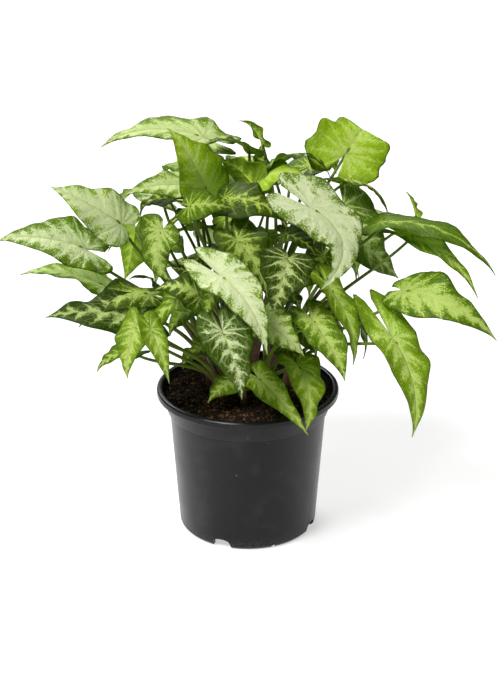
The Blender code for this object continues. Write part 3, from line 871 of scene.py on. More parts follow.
def pot_profile():
    """The pot's wall and floor, from the middle of the floor's underside round to its top."""
    lip_foot_z = POT_HEIGHT - LIP_HEIGHT
    inner_floor_z = FLOOR_Z + FLOOR_THICKNESS
    corners = [
        (0, FLOOR_Z),
        (FOOT_RADIUS - FOOT_WIDTH - FOOT_DRAFT, FLOOR_Z),
        (FOOT_RADIUS - FOOT_WIDTH, 0),
        (FOOT_RADIUS, 0),
        (BODY_FOOT_RADIUS, FOOT_CHAMFER),
        (BODY_TOP_RADIUS, COLLAR_FOOT_Z - COLLAR_SLOPE),
        (COLLAR_FOOT_RADIUS, COLLAR_FOOT_Z),
        (COLLAR_TOP_RADIUS, lip_foot_z),
        (LIP_RADIUS, lip_foot_z + LIP_SLOPE),
        (LIP_RADIUS, POT_HEIGHT),
        (LIP_RADIUS - LIP_WIDTH, POT_HEIGHT),
        (LIP_RADIUS - LIP_WIDTH, POT_HEIGHT - LIP_DEPTH),
        (COLLAR_TOP_RADIUS - WALL, lip_foot_z),
        (COLLAR_FOOT_RADIUS - WALL, COLLAR_FOOT_Z + INNER_SLOPE),
        (BODY_TOP_RADIUS - WALL, COLLAR_FOOT_Z - COLLAR_SLOPE),
        (BODY_FOOT_RADIUS - WALL - INNER_DRAFT, inner_floor_z),
        (0, inner_floor_z),
    ]
    return rounded(corners, CORNER_RADII)


def arch_outline(width, height, across):
    """Points of an arched opening's outline, which starts a little below the ground."""
    side = [(1, -0.4), (1, 0.4), (0.88, 0.68), (0.7, 0.86), (0.3, 0.98)]
    shape = side + [(-x, z) for x, z in reversed(side)]
    return [across * (x * width / 2) + UP * (z * height) for x, z in shape]


def base_cutters():
    """Bodies that cut the openings in the pot's foot and floor."""
    cutters = []
    sizes = [(a, NOTCH_WIDTH, NOTCH_HEIGHT) for a in NOTCH_ANGLES]
    sizes += [(a, NICK_WIDTH, NICK_HEIGHT) for a in NICK_ANGLES]
    for angle, width, height in sizes:
        out = from_front(angle)
        outline = arch_outline(width, height, UP.cross(out))
        start, end = out * (FOOT_RADIUS - 2 * FOOT_WIDTH), out * (BODY_FOOT_RADIUS + FOOT_WIDTH)
        cutters.append(prism("notch", outline, start, end))
    low, high = UP * (FLOOR_Z - FLOOR_THICKNESS), UP * (FLOOR_Z + 2 * FLOOR_THICKNESS)
    angles = [2 * math.pi * k / DRAIN_HOLE_SIDES for k in range(DRAIN_HOLE_SIDES)]
    outline = [Vector((math.cos(a), math.sin(a), 0)) * DRAIN_HOLE_RADIUS for a in angles]
    drains = [from_front(360 * k / DRAIN_HOLES) * DRAIN_CIRCLE_RADIUS for k in range(DRAIN_HOLES)]
    for middle in [*drains, Vector()]:
        cutters.append(prism("drain", outline, middle + low, middle + high))
    return cutters


def pot_material(settings):
    """Black moulded plastic: satin, a little uneven, with dust specks and scuffs near the ground."""
    made, place = new_material("pot_plastic")
    patches = mottled(place, per_metre=45, detail=4)
    fine = mottled(place, per_metre=900, detail=2)
    specks = speckled(place, per_metre=130, cover=0.13) * 0.5
    low = 1 - place.split("XYZ")[2].ramp(0.001, 0.012)
    scuffs = low * fine.ramp(0.45, 0.8) * 0.4
    dust = patches.ramp(0.55, 1) * 0.12
    worn = specks.math("MAXIMUM", dust).math("MAXIMUM", scuffs) * settings.dust
    values = {
        "Base Color": blend(worn, settings.plastic, (0.2, 0.19, 0.17)),
        "Roughness": patches * 0.12 + (settings.roughness - 0.06) + worn * 0.5,
        "Specular IOR Level": 0.22,
        "Normal": bumped(fine, 0.25, 0.00006),
    }
    return principled(made, values)


class PLANT_OT_pot(Operator):
    """Add the black nursery pot, with its rounded lip and the openings in its base"""

    bl_idname = "plant.pot"
    bl_label = "Add Pot"

    def execute(self, context):
        pot = turned("nursery_pot", pot_profile(), POT_SEGMENTS)
        cut_away(pot, base_cutters())
        dress(pot, "pot", pot_material(context.scene.plant_pot), sharp_angle=32)
        return {"FINISHED"}


# Soil


def soil_height(x, y):
    """The soil's surface: a low mound with lumps."""
    edge = math.hypot(x, y) / (COLLAR_TOP_RADIUS - WALL)
    lumps = noise.noise(Vector((x, y, 0)) / SOIL_LUMP_WIDTH)
    return SOIL_EDGE_Z + SOIL_MOUND * (1 - edge * edge) + SOIL_LUMP * lumps


def crumb_bed(name):
    """A sheet over the soil on which crumbs are strewn."""
    reach = COLLAR_TOP_RADIUS - WALL - CRUMB_BED_MARGIN
    rings = int(reach / CRUMB_BED_STEP)
    points = [(0, 0, soil_height(0, 0))]
    for ring, k in product(range(1, rings + 1), range(CRUMB_BED_SIDES)):
        angle = 2 * math.pi * k / CRUMB_BED_SIDES
        x, y = reach * ring / rings * math.cos(angle), reach * ring / rings * math.sin(angle)
        points.append((x, y, soil_height(x, y)))
    faces = [(0, 1 + k, 1 + (k + 1) % CRUMB_BED_SIDES) for k in range(CRUMB_BED_SIDES)]
    for ring, k in product(range(rings - 1), range(CRUMB_BED_SIDES)):
        a = 1 + ring * CRUMB_BED_SIDES + k
        b = 1 + ring * CRUMB_BED_SIDES + (k + 1) % CRUMB_BED_SIDES
        faces.append((a, a + CRUMB_BED_SIDES, b + CRUMB_BED_SIDES, b))
    return mesh_object(name, points, faces)


def random_vector(tree, low, high, seed):
    """A random vector for each copy."""
    values = {0: low, 1: high, "Seed": seed}
    return signal(tree, "FunctionNodeRandomValue", values, data_type="FLOAT_VECTOR")


def strewn(tree, given, shape, seed):
    """Copies of a shape at random places on the given sheet, turned and scaled at random, as one mesh."""
    spots = {"Mesh": given["Geometry"], "Density": given["Density"], "Seed": seed}
    points = signal(tree, "GeometryNodeDistributePointsOnFaces", spots)
    turn = random_vector(tree, (0, 0, 0), (2 * math.pi,) * 3, seed + 1)
    size = random_vector(tree, (0.3, 0.2, 0.2), (1, 0.8, 0.7), seed + 2).scaled(given["Size"])
    copies = {"Points": points, "Instance": shape, "Rotation": turn, "Scale": size}
    placed = signal(tree, "GeometryNodeInstanceOnPoints", copies)
    return signal(tree, "GeometryNodeRealizeInstances", {0: placed})


def coloured(geometry, material):
    """Ends a Geometry Nodes tree with the material of its mesh."""
    values = {"Geometry": geometry, "Material": material}
    return end_tree(signal(geometry.tree, "GeometryNodeSetMaterial", values), "Geometry", "Geometry")


def crumb_tree(material):
    """Geometry Nodes that strew lumpy crumbs over a sheet."""
    tree, given = new_tree("soil_crumbs", "GeometryNodeTree", STREWN_INPUTS)
    lump = signal(tree, "GeometryNodeMeshIcoSphere", {"Radius": 0.5, "Subdivisions": 1})
    crumbs = strewn(tree, given, lump, CRUMB_SEED)
    place = signal(tree, "GeometryNodeInputPosition")
    rough = {0: signal(tree, "ShaderNodeTexNoise", {"Vector": place, "Scale": 900.0}, "Color")}
    centred = signal(tree, "ShaderNodeVectorMath", rough | {1: (0.5, 0.5, 0.5)}, operation="SUBTRACT")
    lumpy = {"Geometry": crumbs, "Offset": centred.scaled(CRUMB_LUMPS)}
    return coloured(signal(tree, "GeometryNodeSetPosition", lumpy), material)


def fibre_tree(material):
    """Geometry Nodes that strew short curved fibres over a sheet."""
    tree, given = new_tree("soil_fibres", "GeometryNodeTree", STREWN_INPUTS)
    arc = {"Start": (-0.5, 0, 0), "Middle": (0, 0.45, 0.2), "End": (0.5, 0, 0.1), "Resolution": 6}
    path = signal(tree, "GeometryNodeCurveQuadraticBezier", arc)
    ring = signal(tree, "GeometryNodeCurvePrimitiveCircle", {"Resolution": 4, "Radius": FIBRE_SLIMNESS})
    swept = {"Curve": path, "Profile Curve": ring, "Fill Caps": True}
    fibre = signal(tree, "GeometryNodeCurveToMesh", swept)
    return coloured(strewn(tree, given, fibre, FIBRE_SEED), material)


def run_tree(obj, tree, values):
    """Runs Geometry Nodes on an object and keeps the result as its mesh. values are by input name."""
    modifier = obj.modifiers.new(tree.name, "NODES")
    modifier.node_group = tree
    for item in tree.interface.items_tree:
        if item.in_out == "INPUT" and item.name in values:
            modifier[item.identifier] = values[item.name]
    make_plain(obj)


def soil_material(settings, name, bark_share):
    """Moist peat with paler bits of bark. bark_share is how much of it is pale."""
    made, place = new_material(name)
    clods = mottled(place, per_metre=260, detail=3, contrast=3)
    fine = mottled(place, per_metre=1500, detail=3)
    flecks = speckled(place, per_metre=420, cover=0.4) * 0.5
    brown = blend(clods, settings.peat, tuple(2.6 * c for c in settings.peat))
    pale = clods.ramp(1 - bark_share, 1.1) * 0.8
    values = {
        "Base Color": blend(pale.math("MAXIMUM", flecks), brown, settings.bark),
        "Roughness": fine * 0.3 + 0.6,
        "Specular IOR Level": 0.2,
        "Normal": bumped(fine, 0.8, 0.0004),
    }
    return principled(made, values)


class PLANT_OT_soil(Operator):
    """Finish the potting soil and strew crumbs and fibres over it"""

    bl_idname = "plant.soil"
    bl_label = "Add Soil"

    def execute(self, context):
        settings = context.scene.plant_soil
        soil = frame["nodes"]["soil"]
        soil.data.materials.clear()
        soil.data.materials.append(soil_material(settings, "potting_soil", 0.3))
        crumbs = crumb_bed("soil_crumbs")
        values = {"Size": settings.crumb_size, "Density": settings.crumbs * PER_SQUARE_METRE}
        run_tree(crumbs, crumb_tree(soil_material(settings, "soil_crumb", 0.35)), values)
        dress(crumbs, None, sharp_angle=40)
        fibres = crumb_bed("soil_fibres")
        values = {"Size": settings.fibre_length, "Density": settings.fibres * PER_SQUARE_METRE}
        run_tree(fibres, fibre_tree(soil_material(settings, "soil_fibre", 0.8)), values)
        dress(fibres, None)
        return {"FINISHED"}


# Blades


class BladeFrame(NamedTuple):
    """A blade's directions: along it, across it and out of its upper face."""

    start: Vector
    length: float
    along: Vector
    across: Vector
    out: Vector


def blade_frame(leaf):
    """The directions of a leaf's blade."""
    start, tip = Vector(leaf.at), Vector(leaf.tip)
    along = (tip - start).normalized()
    middle = (start + tip) / 2
    outwards = Vector((middle.x, middle.y, 0)).normalized()
    facing = UP * FACING_UP + outwards * FACING_OUT
    out = (facing - along * facing.dot(along)).normalized()
    out = Matrix.Rotation(math.radians(leaf.turn), 3, along) @ out
    return BladeFrame(start, (tip - start).length, along, out.cross(along), out)


def blade_point(leaf, frame, share, off, above=0):
    """A point at a share of the blade's length, off its midrib by a share of its half width."""
    length = frame.length
    arch = share * (1 - max(share, 0))
    slope = (1 - 2 * max(share, 0)) / length
    side = frame.out * leaf.bow + frame.across * leaf.bend
    middle = frame.start + frame.along * (length * share) + side * (4 * arch)
    tangent = (frame.along + side * (4 * slope)).normalized()
    out = (frame.out - tangent * frame.out.dot(tangent)).normalized()
    half = leaf.width / 2
    lift = math.tan(math.radians(leaf.fold)) * abs(off) * half * (1 - FOLD_EASE * abs(off))
    wave = math.sin(2 * math.pi * WAVES * share + leaf.at[0] + leaf.at[1])
    lift += WAVE_HEIGHT * off * abs(off) * wave
    return middle + out.cross(tangent) * (off * half) + out * (lift + above)


def blade_sheet(leaf, sections):
    """The part's middle surface of a blade, as points and triangles."""
    frame = blade_frame(leaf)
    points, found, triangles = [], {}, []

    def index(side, rib, step):
        along = rib.along * (leaf.lobe if rib.along < 0 else 1)
        share = rib.root + (along - rib.root) * step / sections
        off = side * rib.out * step / sections
        key = (round(share, 5), round(off, 5))
        if key not in found:
            found[key] = len(points)
            points.append(blade_point(leaf, frame, share, off))
        return found[key]

    for side in (1, -1):
        for rib, after in zip(BLADE_RIBS, BLADE_RIBS[1:]):
            for step in range(sections):
                a, b = index(side, rib, step), index(side, rib, step + 1)
                c, d = index(side, after, step), index(side, after, step + 1)
                halves = ((a, b, d), (a, d, c)) if side < 0 else ((a, d, b), (a, c, d))
                triangles += [t for t in halves if len(set(t)) == 3]
    return points, triangles


def fine_ribs(leaf):
    """Closely spaced ribs on a smooth curve through the ends of the part's ribs, swept like veins."""
    ends = [Vector((rib.along * (leaf.lobe if rib.along < 0 else 1), rib.out)) for rib in BLADE_RIBS]
    ends = [ends[0] * 2 - ends[1], *ends, ends[-1] * 2 - ends[-2]]
    count = VEIN_PAIRS * STEPS_A_VEIN
    ribs = []
    for k in range(count + 1):
        past_lobe = (k / count - LOBE_VEINS_SHARE) / (1 - LOBE_VEINS_SHARE)
        place = LOBE_RIBS + past_lobe * (len(BLADE_RIBS) - 1 - LOBE_RIBS)
        if past_lobe < 0:
            place = k / count / LOBE_VEINS_SHARE * LOBE_RIBS
        cell = min(int(place), len(BLADE_RIBS) - 2)
        t = place - cell
        a, b, c, d = ends[cell : cell + 4]
        end = b * 2 + (c - a) * t + (a * 2 - b * 5 + c * 4 - d) * t**2 + (b * 3 - a - c * 3 + d) * t**3
        along, out = end / 2
        ribs.append(Rib(max(0, along - VEIN_SWEEP * out), along, max(out, 0)))
    return ribs


class Foliage:
    """Points and faces of many blades, with what the leaf material reads at points and corners."""

    def __init__(self):
        self.points = []
        self.faces = []
        self.corners = []
        self.looks = []
        self.sizes = []

    def add_face(self, corners):
        """Adds a face from its points' indices and pattern places, unless its points fall together."""
        kept = [c for c, after in zip(corners, corners[1:] + corners[:1]) if c[0] != after[0]]
        points = [index for index, _ in kept]
        if len(points) > 2 and len(set(points)) == len(points):
            self.faces.append(points)
            self.corners += [pattern for _, pattern in kept]

    def object(self, name):
        """The mesh object, with its pattern map and attributes."""
        made = mesh_object(name, self.points, self.faces)
        pattern = made.data.uv_layers.new(name="Blade")
        pattern.data.foreach_set("uv", [value for corner in self.corners for value in corner])
        for title, values in (("leaf_look", self.looks), ("leaf_size", self.sizes)):
            layer = made.data.attributes.new(title, "FLOAT_COLOR", "POINT")
            layer.data.foreach_set("color", [value for four in values for value in four])
        return made


class Blade:
    """One blade: two faces with their relief, and the margin between them."""

    def __init__(self, foliage, leaf, chance, settings):
        self.foliage = foliage
        self.leaf = leaf
        self.frame = blade_frame(leaf)
        self.ribs = fine_ribs(leaf)
        self.thickness = settings.thickness / MM
        self.relief = settings.relief / MM
        shifted = [value + chance.uniform(-TONE_RANGE, TONE_RANGE) for value in LOOKS[leaf.look]]
        self.tone = [min(max(value, 0), 1) for value in shifted]
        self.mark = chance.random()
        self.slim = min(leaf.width / FULL_WIDTH, 1)
        self.found = {}

    def vein_gap(self, number, v):
        """How far apart the veins are beside a place on a rib. v runs out along the rib."""
        if not 0 < number < len(self.ribs) - 1:
            return 0.0
        near, far = self.ribs[number - 1], self.ribs[number + 1]
        run = (far.root - near.root) * (1 - v) + (far.along - near.along) * v
        rise = (far.out - near.out) * v * self.leaf.width / 2 / self.frame.length
        return math.hypot(run, rise) * self.frame.length * STEPS_A_VEIN / 2

    def swelling(self, side, number, v, gap):
        """How far the blade swells between its veins."""
        phase = math.pi * number / STEPS_A_VEIN + (math.pi / 2 if side > 0 else 0)
        rounding = math.sin(math.pi * v) ** SWELL_FULLNESS
        return self.relief * math.sin(phase) ** 2 * rounding * min(gap / WIDE_GAP, 1)

    def rippling(self, number, v, share, place):
        """How far the blade ripples towards its margin and droops at its tip."""
        ripple = noise.noise(place) * RIPPLE_HEIGHT * 2
        ripple += noise.noise(place * CRINKLES) * CRINKLE_HEIGHT * 2
        ripple *= self.slim * v**3 * min(self.ribs[number].out * 2.5, 1)
        past = max(share - DROOP_START, 0) / (1 - DROOP_START)
        return ripple - TIP_DROOP * self.slim * past**2

    def corner(self, side, number, row, face):
        """The index and the pattern place of a point. face is 1 above and -1 below."""
        rib, v = self.ribs[number], BLADE_ROWS[row]
        share = rib.root + (rib.along - rib.root) * v ** (VEIN_CURVE if rib.root else 1)
        place = Vector((share * RIPPLES, side * 3, self.mark * 90))
        off = side * rib.out * v * (1 + MARGIN_UNEVENNESS * self.slim * v * noise.noise(place))
        key = (round(share, 5), round(off, 5), face)
        if key not in self.found:
            from_midrib = abs(off) * self.leaf.width / 2
            gap = self.vein_gap(number, v)
            above = self.swelling(side, number, v, gap) + self.rippling(number, v, share, place)
            ridge = math.exp(-((from_midrib / RIDGE_WIDTH) ** 2)) * max(1 - share, 0)
            above += face * self.thickness / 2 * (1 - MARGIN_SHARE * abs(off) ** 3)
            above -= ridge * (RIDGE_SINK if face > 0 else RIDGE_HEIGHT)
            self.found[key] = len(self.foliage.points)
            self.foliage.points.append(blade_point(self.leaf, self.frame, share, off, above))
            self.foliage.looks.append(self.tone)
            self.foliage.sizes.append((from_midrib, gap, self.mark, 0.0 if face > 0 else 1.0))
        return self.found[key], (0.5 + 0.5 * side * v, number / (len(self.ribs) - 1))

    def add_faces(self):
        """Adds both faces cell by cell, and closes the open edges between them."""
        edges = {}
        for side, number, row in product((1, -1), range(len(self.ribs) - 1), range(len(BLADE_ROWS) - 1)):
            quad = [(number, row), (number, row + 1), (number + 1, row + 1), (number + 1, row)]
            quad = quad if side < 0 else quad[::-1]
            for a, b in zip(quad, quad[1:] + quad[:1]):
                first, second = self.corner(side, *a, 1)[0], self.corner(side, *b, 1)[0]
                if first != second:
                    edges[first, second] = (side, a, b)
            self.foliage.add_face([self.corner(side, *p, 1) for p in quad])
            self.foliage.add_face([self.corner(side, *p, -1) for p in quad[::-1]])
        for (first, second), (side, a, b) in edges.items():
            if (second, first) not in edges:
                margin = ((*b, 1), (*a, 1), (*a, -1), (*b, -1))
                self.foliage.add_face([self.corner(side, *p) for p in margin])


class BladeRead(NamedTuple):
    """What the leaf material reads at a point of a blade."""

    depth: Signal
    spread: Signal
    cream: Signal
    veins: Signal
    under: Signal
    out: Signal
    near: Signal
    net: Signal
    streaks: Signal
    from_midrib: Signal
    from_vein: Signal


def four_values(tree, name):
    """The four values that a colour attribute holds at a point."""
    made = add(tree, "ShaderNodeAttribute", attribute_name=name)
    return [*Signal(made.outputs["Color"]).split(), Signal(made.outputs["Alpha"])]


def read_blade(tree, uneven):
    """A blade's look, and how far a point of it is from the midrib, the margin and the veins."""
    across, along, _ = signal(tree, "ShaderNodeUVMap", uv_map="Blade").split("XYZ")
    depth, spread, cream, veins = four_values(tree, "leaf_look")
    from_midrib, gap, mark, under = four_values(tree, "leaf_size")
    out = (across * 2 - 1).math("ABSOLUTE")
    half_step = across.math("GREATER_THAN", 0.5) * 0.5
    count = along * VEIN_PAIRS + half_step + (uneven * 0.24 - 0.12)
    near = count.math("PINGPONG", 0.5) * 2
    cell = {0: count * 1.7, 1: from_midrib * 0.3, 2: mark * 50}
    cells = signal(tree, "ShaderNodeCombineXYZ", cell)
    net = {"Vector": cells, "Scale": 1.0}
    net = signal(tree, "ShaderNodeTexVoronoi", net, "Distance", feature="DISTANCE_TO_EDGE")
    strokes = signal(tree, "ShaderNodeMapping", {"Vector": cells, "Scale": (2.6, 0.75, 1)})
    streaks = mottled(strokes, per_metre=1.0, detail=3, contrast=2.4)
    from_vein = near * gap * 0.5
    return BladeRead(depth, spread, cream, veins, under, out, near, net, streaks, from_midrib, from_vein)


def how_green(blade, mid, place):
    """How green a point is, from a pale 0 to 1, and a hard-edged mask of the same for its stipple."""
    large = mottled(place, per_metre=38, detail=1)
    cells = {"Vector": place, "Scale": 850.0}
    dots = signal(place.tree, "ShaderNodeTexVoronoi", cells, "Distance", feature="F1")
    fingers = (blade.near - 0.5) * 0.5 + blade.out
    edge = fingers + (large * 0.3 + (blade.streaks * 0.4 - 0.35) - blade.spread)
    stipple = (edge + (dots * 1.1 + mid * 0.4 - 0.7)).ramp(-0.1, 0.1)
    greenness = edge.ramp(-0.5, 0.45) * 0.5 + stipple * 0.5
    stroke = (blade.streaks * 0.3 + (blade.out * 0.5 + blade.near)).ramp(0.2, 0.75)
    return greenness * (1 - (1 - stroke) * blade.veins), stipple


def leaf_greens(blade, settings, stipple, mid, fine, place):
    """The green of a leaf by its depth, deeper in patches and towards the margin, and flecked."""
    green = blend(blade.depth.ramp(0, 0.5, "LINEAR"), settings.lime, settings.green)
    # The deepest looks end in deep green, which holds painted shade as well as the leaves' own dark green.
    green = blend(blade.depth.ramp(0.5, 1, "LINEAR"), green, settings.deep_green_and_shade)
    darker = (blade.out.ramp(0.4, 0.95) + mid) * 0.3
    green = blend(darker * stipple, green, settings.deep_green_and_shade)
    flecks = speckled(place, per_metre=760, cover=0.75) * 0.3 + fine * 0.1
    return blend(flecks * (1 - blade.depth * 0.75), green, settings.pale_lime)


def blade_colour(blade, settings, mid, fine, place):
    """Pale along the midrib and out along the veins, mottled and stippled where it turns green."""
    greenness, stipple = how_green(blade, mid, place)
    green = leaf_greens(blade, settings, stipple, mid, fine, place)
    pale = blend(blade.cream, settings.pale_lime, settings.cream)
    pale = blend(blade.streaks * 0.3, pale, green)
    halo = blend(0.4, blend(0.5, green, settings.lime), pale)
    colour = blend(greenness.ramp(0, 0.6), pale, halo)
    colour = blend(greenness.ramp(0.3, 1), colour, green)

    # Veins over all, which fade towards the margin
    fade = 1 - blade.out.ramp(0.55, 1)
    lines = 1 - blade.from_vein.ramp(0.1, 0.6)
    netting = (1 - blade.net.ramp(0.01, 0.09)) * 0.4
    clear = fade * blade.veins * 0.8
    colour = blend(lines.math("MAXIMUM", netting) * clear, colour, pale)
    rib = 1 - blade.from_midrib.ramp(0.1, 0.65)
    colour = blend(rib * 0.6, colour, settings.midrib)
    rim = (mid * 0.03 + blade.out).ramp(0.965, 1)
    return blend(rim * 0.6, colour, settings.deep_green_and_shade), rib


def blade_material(settings):
    """Waxy variegated leaf, which lets some light through. Its underside is duller and yellower."""
    made, place = new_material("leaf_blade")
    tree = place.tree
    mid = mottled(place, per_metre=230, detail=3)
    fine = mottled(place, per_metre=1250, detail=2)
    blade = read_blade(tree, mid)
    colour, rib = blade_colour(blade, settings, mid, fine, place)
    colour = blend(blade.under, colour, blend(0.45, colour, settings.underside))

    # Veins sink into the upper face and stand out below
    quilt = rib * -0.2 + blade.from_vein.ramp(0, 2) * 0.4
    cushions = blade.net.ramp(0, 0.15) * 0.35
    height = quilt * (1 - blade.under * 2) + (fine * 0.25 + cushions)
    values = {
        "Base Color": colour,
        "Roughness": blade.under * 0.2 + (mid * 0.12 + 0.36),
        "Specular IOR Level": 0.12,
        "Normal": bumped(height, 0.8, 0.0005),
    }
    surface = signal(tree, "ShaderNodeBsdfPrincipled", values)
    through = {"Color": blend(0.35, colour, settings.lime), "Normal": values["Normal"]}
    glow = signal(tree, "ShaderNodeBsdfTranslucent", through)
    show(signal(tree, "ShaderNodeMixShader", {0: settings.glow, 1: surface, 2: glow}))
    return made


class PLANT_OT_blades(Operator):
    """Add each shoot's arrow-shaped blades, with their veins, waves and variegation"""

    bl_idname = "plant.blades"
    bl_label = "Add Blades"

    def execute(self, context):
        settings = context.scene.plant_foliage
        material = blade_material(settings)
        chance = random.Random(TONE_SEED)
        for name, leaves in LEAVES.items():
            foliage = Foliage()
            for leaf in leaves:
                Blade(foliage, leaf, chance, settings).add_faces()
            dress(foliage.object(name + "_blades"), name, material)
        return {"FINISHED"}


# Stalks


def petiole_start(shoot, leaf, rank):
    """Where a leaf's petiole leaves its stem. rank runs from 0 at the stem's foot to 1 at its top."""
    z = soil_height(shoot.x, shoot.y) + PETIOLE_LOWEST
    z += (shoot.height - PETIOLE_LOWEST - PETIOLE_BELOW_TOP) * rank
    towards = Vector((leaf.at[0] - shoot.x, leaf.at[1] - shoot.y, 0)).normalized()
    return Vector((shoot.x, shoot.y, z)) + towards * PETIOLE_SET_OUT


def petiole_curve(leaf, start, sway, steps):
    """Points from the stem to just past the blade's base. sway moves the curve's middle aside and up."""
    frame = blade_frame(leaf)
    end = blade_point(leaf, frame, PETIOLE_OVERLAP, 0)
    run = end - start
    level = Vector((run.x, run.y, 0))
    aside = UP.cross(level).normalized() * sway[0] + UP * sway[1]
    rise = PETIOLE_RISE * run.z + PETIOLE_SPREAD * level.length
    first = start + level * PETIOLE_SPREAD + UP * rise + aside
    arriving = run.normalized() + frame.out * ARRIVING_OUT + frame.along * ARRIVING_ALONG
    second = end - arriving.normalized() * (ARRIVING_SHARE * run.length) + aside
    curve = []
    for k in range(steps + 1):
        t = k / steps
        u = 1 - t
        curve.append(start * u**3 + first * (3 * t * u * u) + second * (3 * t * t * u) + end * t**3)
    return curve


def tube(points, foot_radius, top_radius, sides):
    """The part's tapering tube along points, as points and triangles. It ends in a point."""
    placed, faces = [], []
    last = len(points) - 1
    across = UP.cross(points[1] - points[0])
    if across.length < 0.01:
        across = Vector((1, 0, 0))  # An upright tube has no level side of its own
    for k, point in enumerate(points[:-1]):
        tangent = (points[min(k + 1, last)] - points[max(k - 1, 0)]).normalized()
        across = (across - tangent * across.dot(tangent)).normalized()
        other = tangent.cross(across)
        radius = foot_radius + (top_radius - foot_radius) * k / last
        for s in range(sides):
            angle = 2 * math.pi * s / sides
            placed.append(point + (across * math.cos(angle) + other * math.sin(angle)) * radius)
    top = len(placed)
    placed.append(points[last])
    for k in range(last):
        for s in range(sides):
            a, b = k * sides + s, k * sides + (s + 1) % sides
            faces += [(a, b, b + sides), (a, b + sides, a + sides)] if k < last - 1 else [(a, b, top)]
    faces += [(0, s + 1, s) for s in range(1, sides - 1)]
    return placed, faces


def stem_points(shoot, steps):
    """Points up the middle of a stem, from its hole in the soil to its top."""
    low = SOIL_EDGE_Z - STEM_DEPTH
    high = soil_height(shoot.x, shoot.y) + shoot.height
    return [Vector((shoot.x, shoot.y, low + (high - low) * k / steps)) for k in range(steps + 1)]


def stem_tube(shoot):
    """The part's stem."""
    return tube(stem_points(shoot, 2), STEM_RADIUS, STEM_RADIUS * STEM_TOP_SHARE, STEM_SIDES)


def points_near(curve, trees):
    """How many points of a curve lie within the petioles' clearance of any of the trees."""
    return sum(any(tree.find_nearest(p, PETIOLE_CLEARANCE)[0] for tree in trees) for p in curve)


def clearest_sway(leaf, start, others, own):
    """The first sway that keeps a petiole clearest of other shoots, and then of its own shoot's blades."""

    def hindrance(sway):
        curve = petiole_curve(leaf, start, sway, ROUTE_STEPS)
        return points_near(curve, others) + 0.1 * points_near(curve[:-ROUTE_STEPS_AT_BLADE], own)

    return min(SWAYS, key=hindrance)


def petiole_routes():
    """Each petiole's curve, routed as in the part so that it lies where its solid is."""
    blades = {}
    for name, leaves in LEAVES.items():
        for number, leaf in enumerate(leaves):
            blades[name, number] = BVHTree.FromPolygons(*blade_sheet(leaf, SECTION_STEPS))
    stems = {name: BVHTree.FromPolygons(*stem_tube(shoot)) for name, shoot in SHOOTS.items()}
    placed, routes = [], {}
    for name, leaves in LEAVES.items():
        for number, leaf in enumerate(leaves):
            start = petiole_start(SHOOTS[name], leaf, (number + 1) / len(leaves))
            others = [tree for key, tree in blades.items() if key[0] != name]
            others += [tree for key, tree in stems.items() if key != name]
            others += [tree for key, tree in placed if key != name]
            own = [tree for key, tree in blades.items() if key[0] == name and key[1] != number]
            sway = clearest_sway(leaf, start, others, own)
            routes[name, number] = petiole_curve(leaf, start, sway, STALK_STEPS)
            coarse = petiole_curve(leaf, start, sway, PETIOLE_STEPS)
            sides = tube(coarse, PETIOLE_FOOT_RADIUS, PETIOLE_TOP_RADIUS, PETIOLE_SIDES)
            placed.append((name, BVHTree.FromPolygons(*sides)))
    return routes


class Place(NamedTuple):
    """A point of a stalk's middle line, with its radius and its share of the way up."""

    point: Vector
    radius: float
    share: float


def petiole_path(leaf, route):
    """Places up a petiole, which sheathes the stem at its foot and runs on under the blade's midrib."""
    path = []
    for k, point in enumerate(route):
        share = k / (len(route) - 1)
        radius = PETIOLE_FOOT_RADIUS + (PETIOLE_TOP_RADIUS - PETIOLE_FOOT_RADIUS) * share
        sheath = SHEATH_WIDENING * math.exp(-share / SHEATH_SHARE)
        path.append(Place(point, radius * STALK_SLIMNESS + sheath, share))
    frame = blade_frame(leaf)
    slim = min(1, leaf.width / RUN_ON_FULL_WIDTH)
    for share, thinning in zip(RUN_ON_SHARES, RUN_ON_THINNING):
        point = blade_point(leaf, frame, share, 0, -RUN_ON_DEPTH)
        path.append(Place(point, PETIOLE_TOP_RADIUS * slim * thinning, 1 + share))
    return path


def stem_path(shoot):
    """Places up a stem, swollen a little at its joints."""
    path = []
    for k, point in enumerate(stem_points(shoot, STEM_STEPS)):
        share = k / STEM_STEPS
        radius = STEM_RADIUS * (1 - (1 - STEM_TOP_SHARE) * share)
        radius += JOINT_SWELLING * math.cos(2 * math.pi * share * STEM_JOINTS)
        closing = math.sqrt(max(1 - share**6, 0.02))
        path.append(Place(point, radius * closing - STEM_INSET, 0.0))
    return path


def stalk_lines(name, paths):
    """An object of bare lines that hold each point's radius and share."""
    places, edges = [], []
    for path in paths:
        edges += [(len(places) + k, len(places) + k + 1) for k in range(len(path) - 1)]
        places += path
    made = mesh_object(name, [place.point for place in places], [], edges)
    radii = made.data.attributes.new("stalk_radius", "FLOAT", "POINT")
    radii.data.foreach_set("value", [place.radius * MM for place in places])
    shares = made.data.attributes.new("stalk_share", "FLOAT", "POINT")
    shares.data.foreach_set("value", [place.share for place in places])
    return made


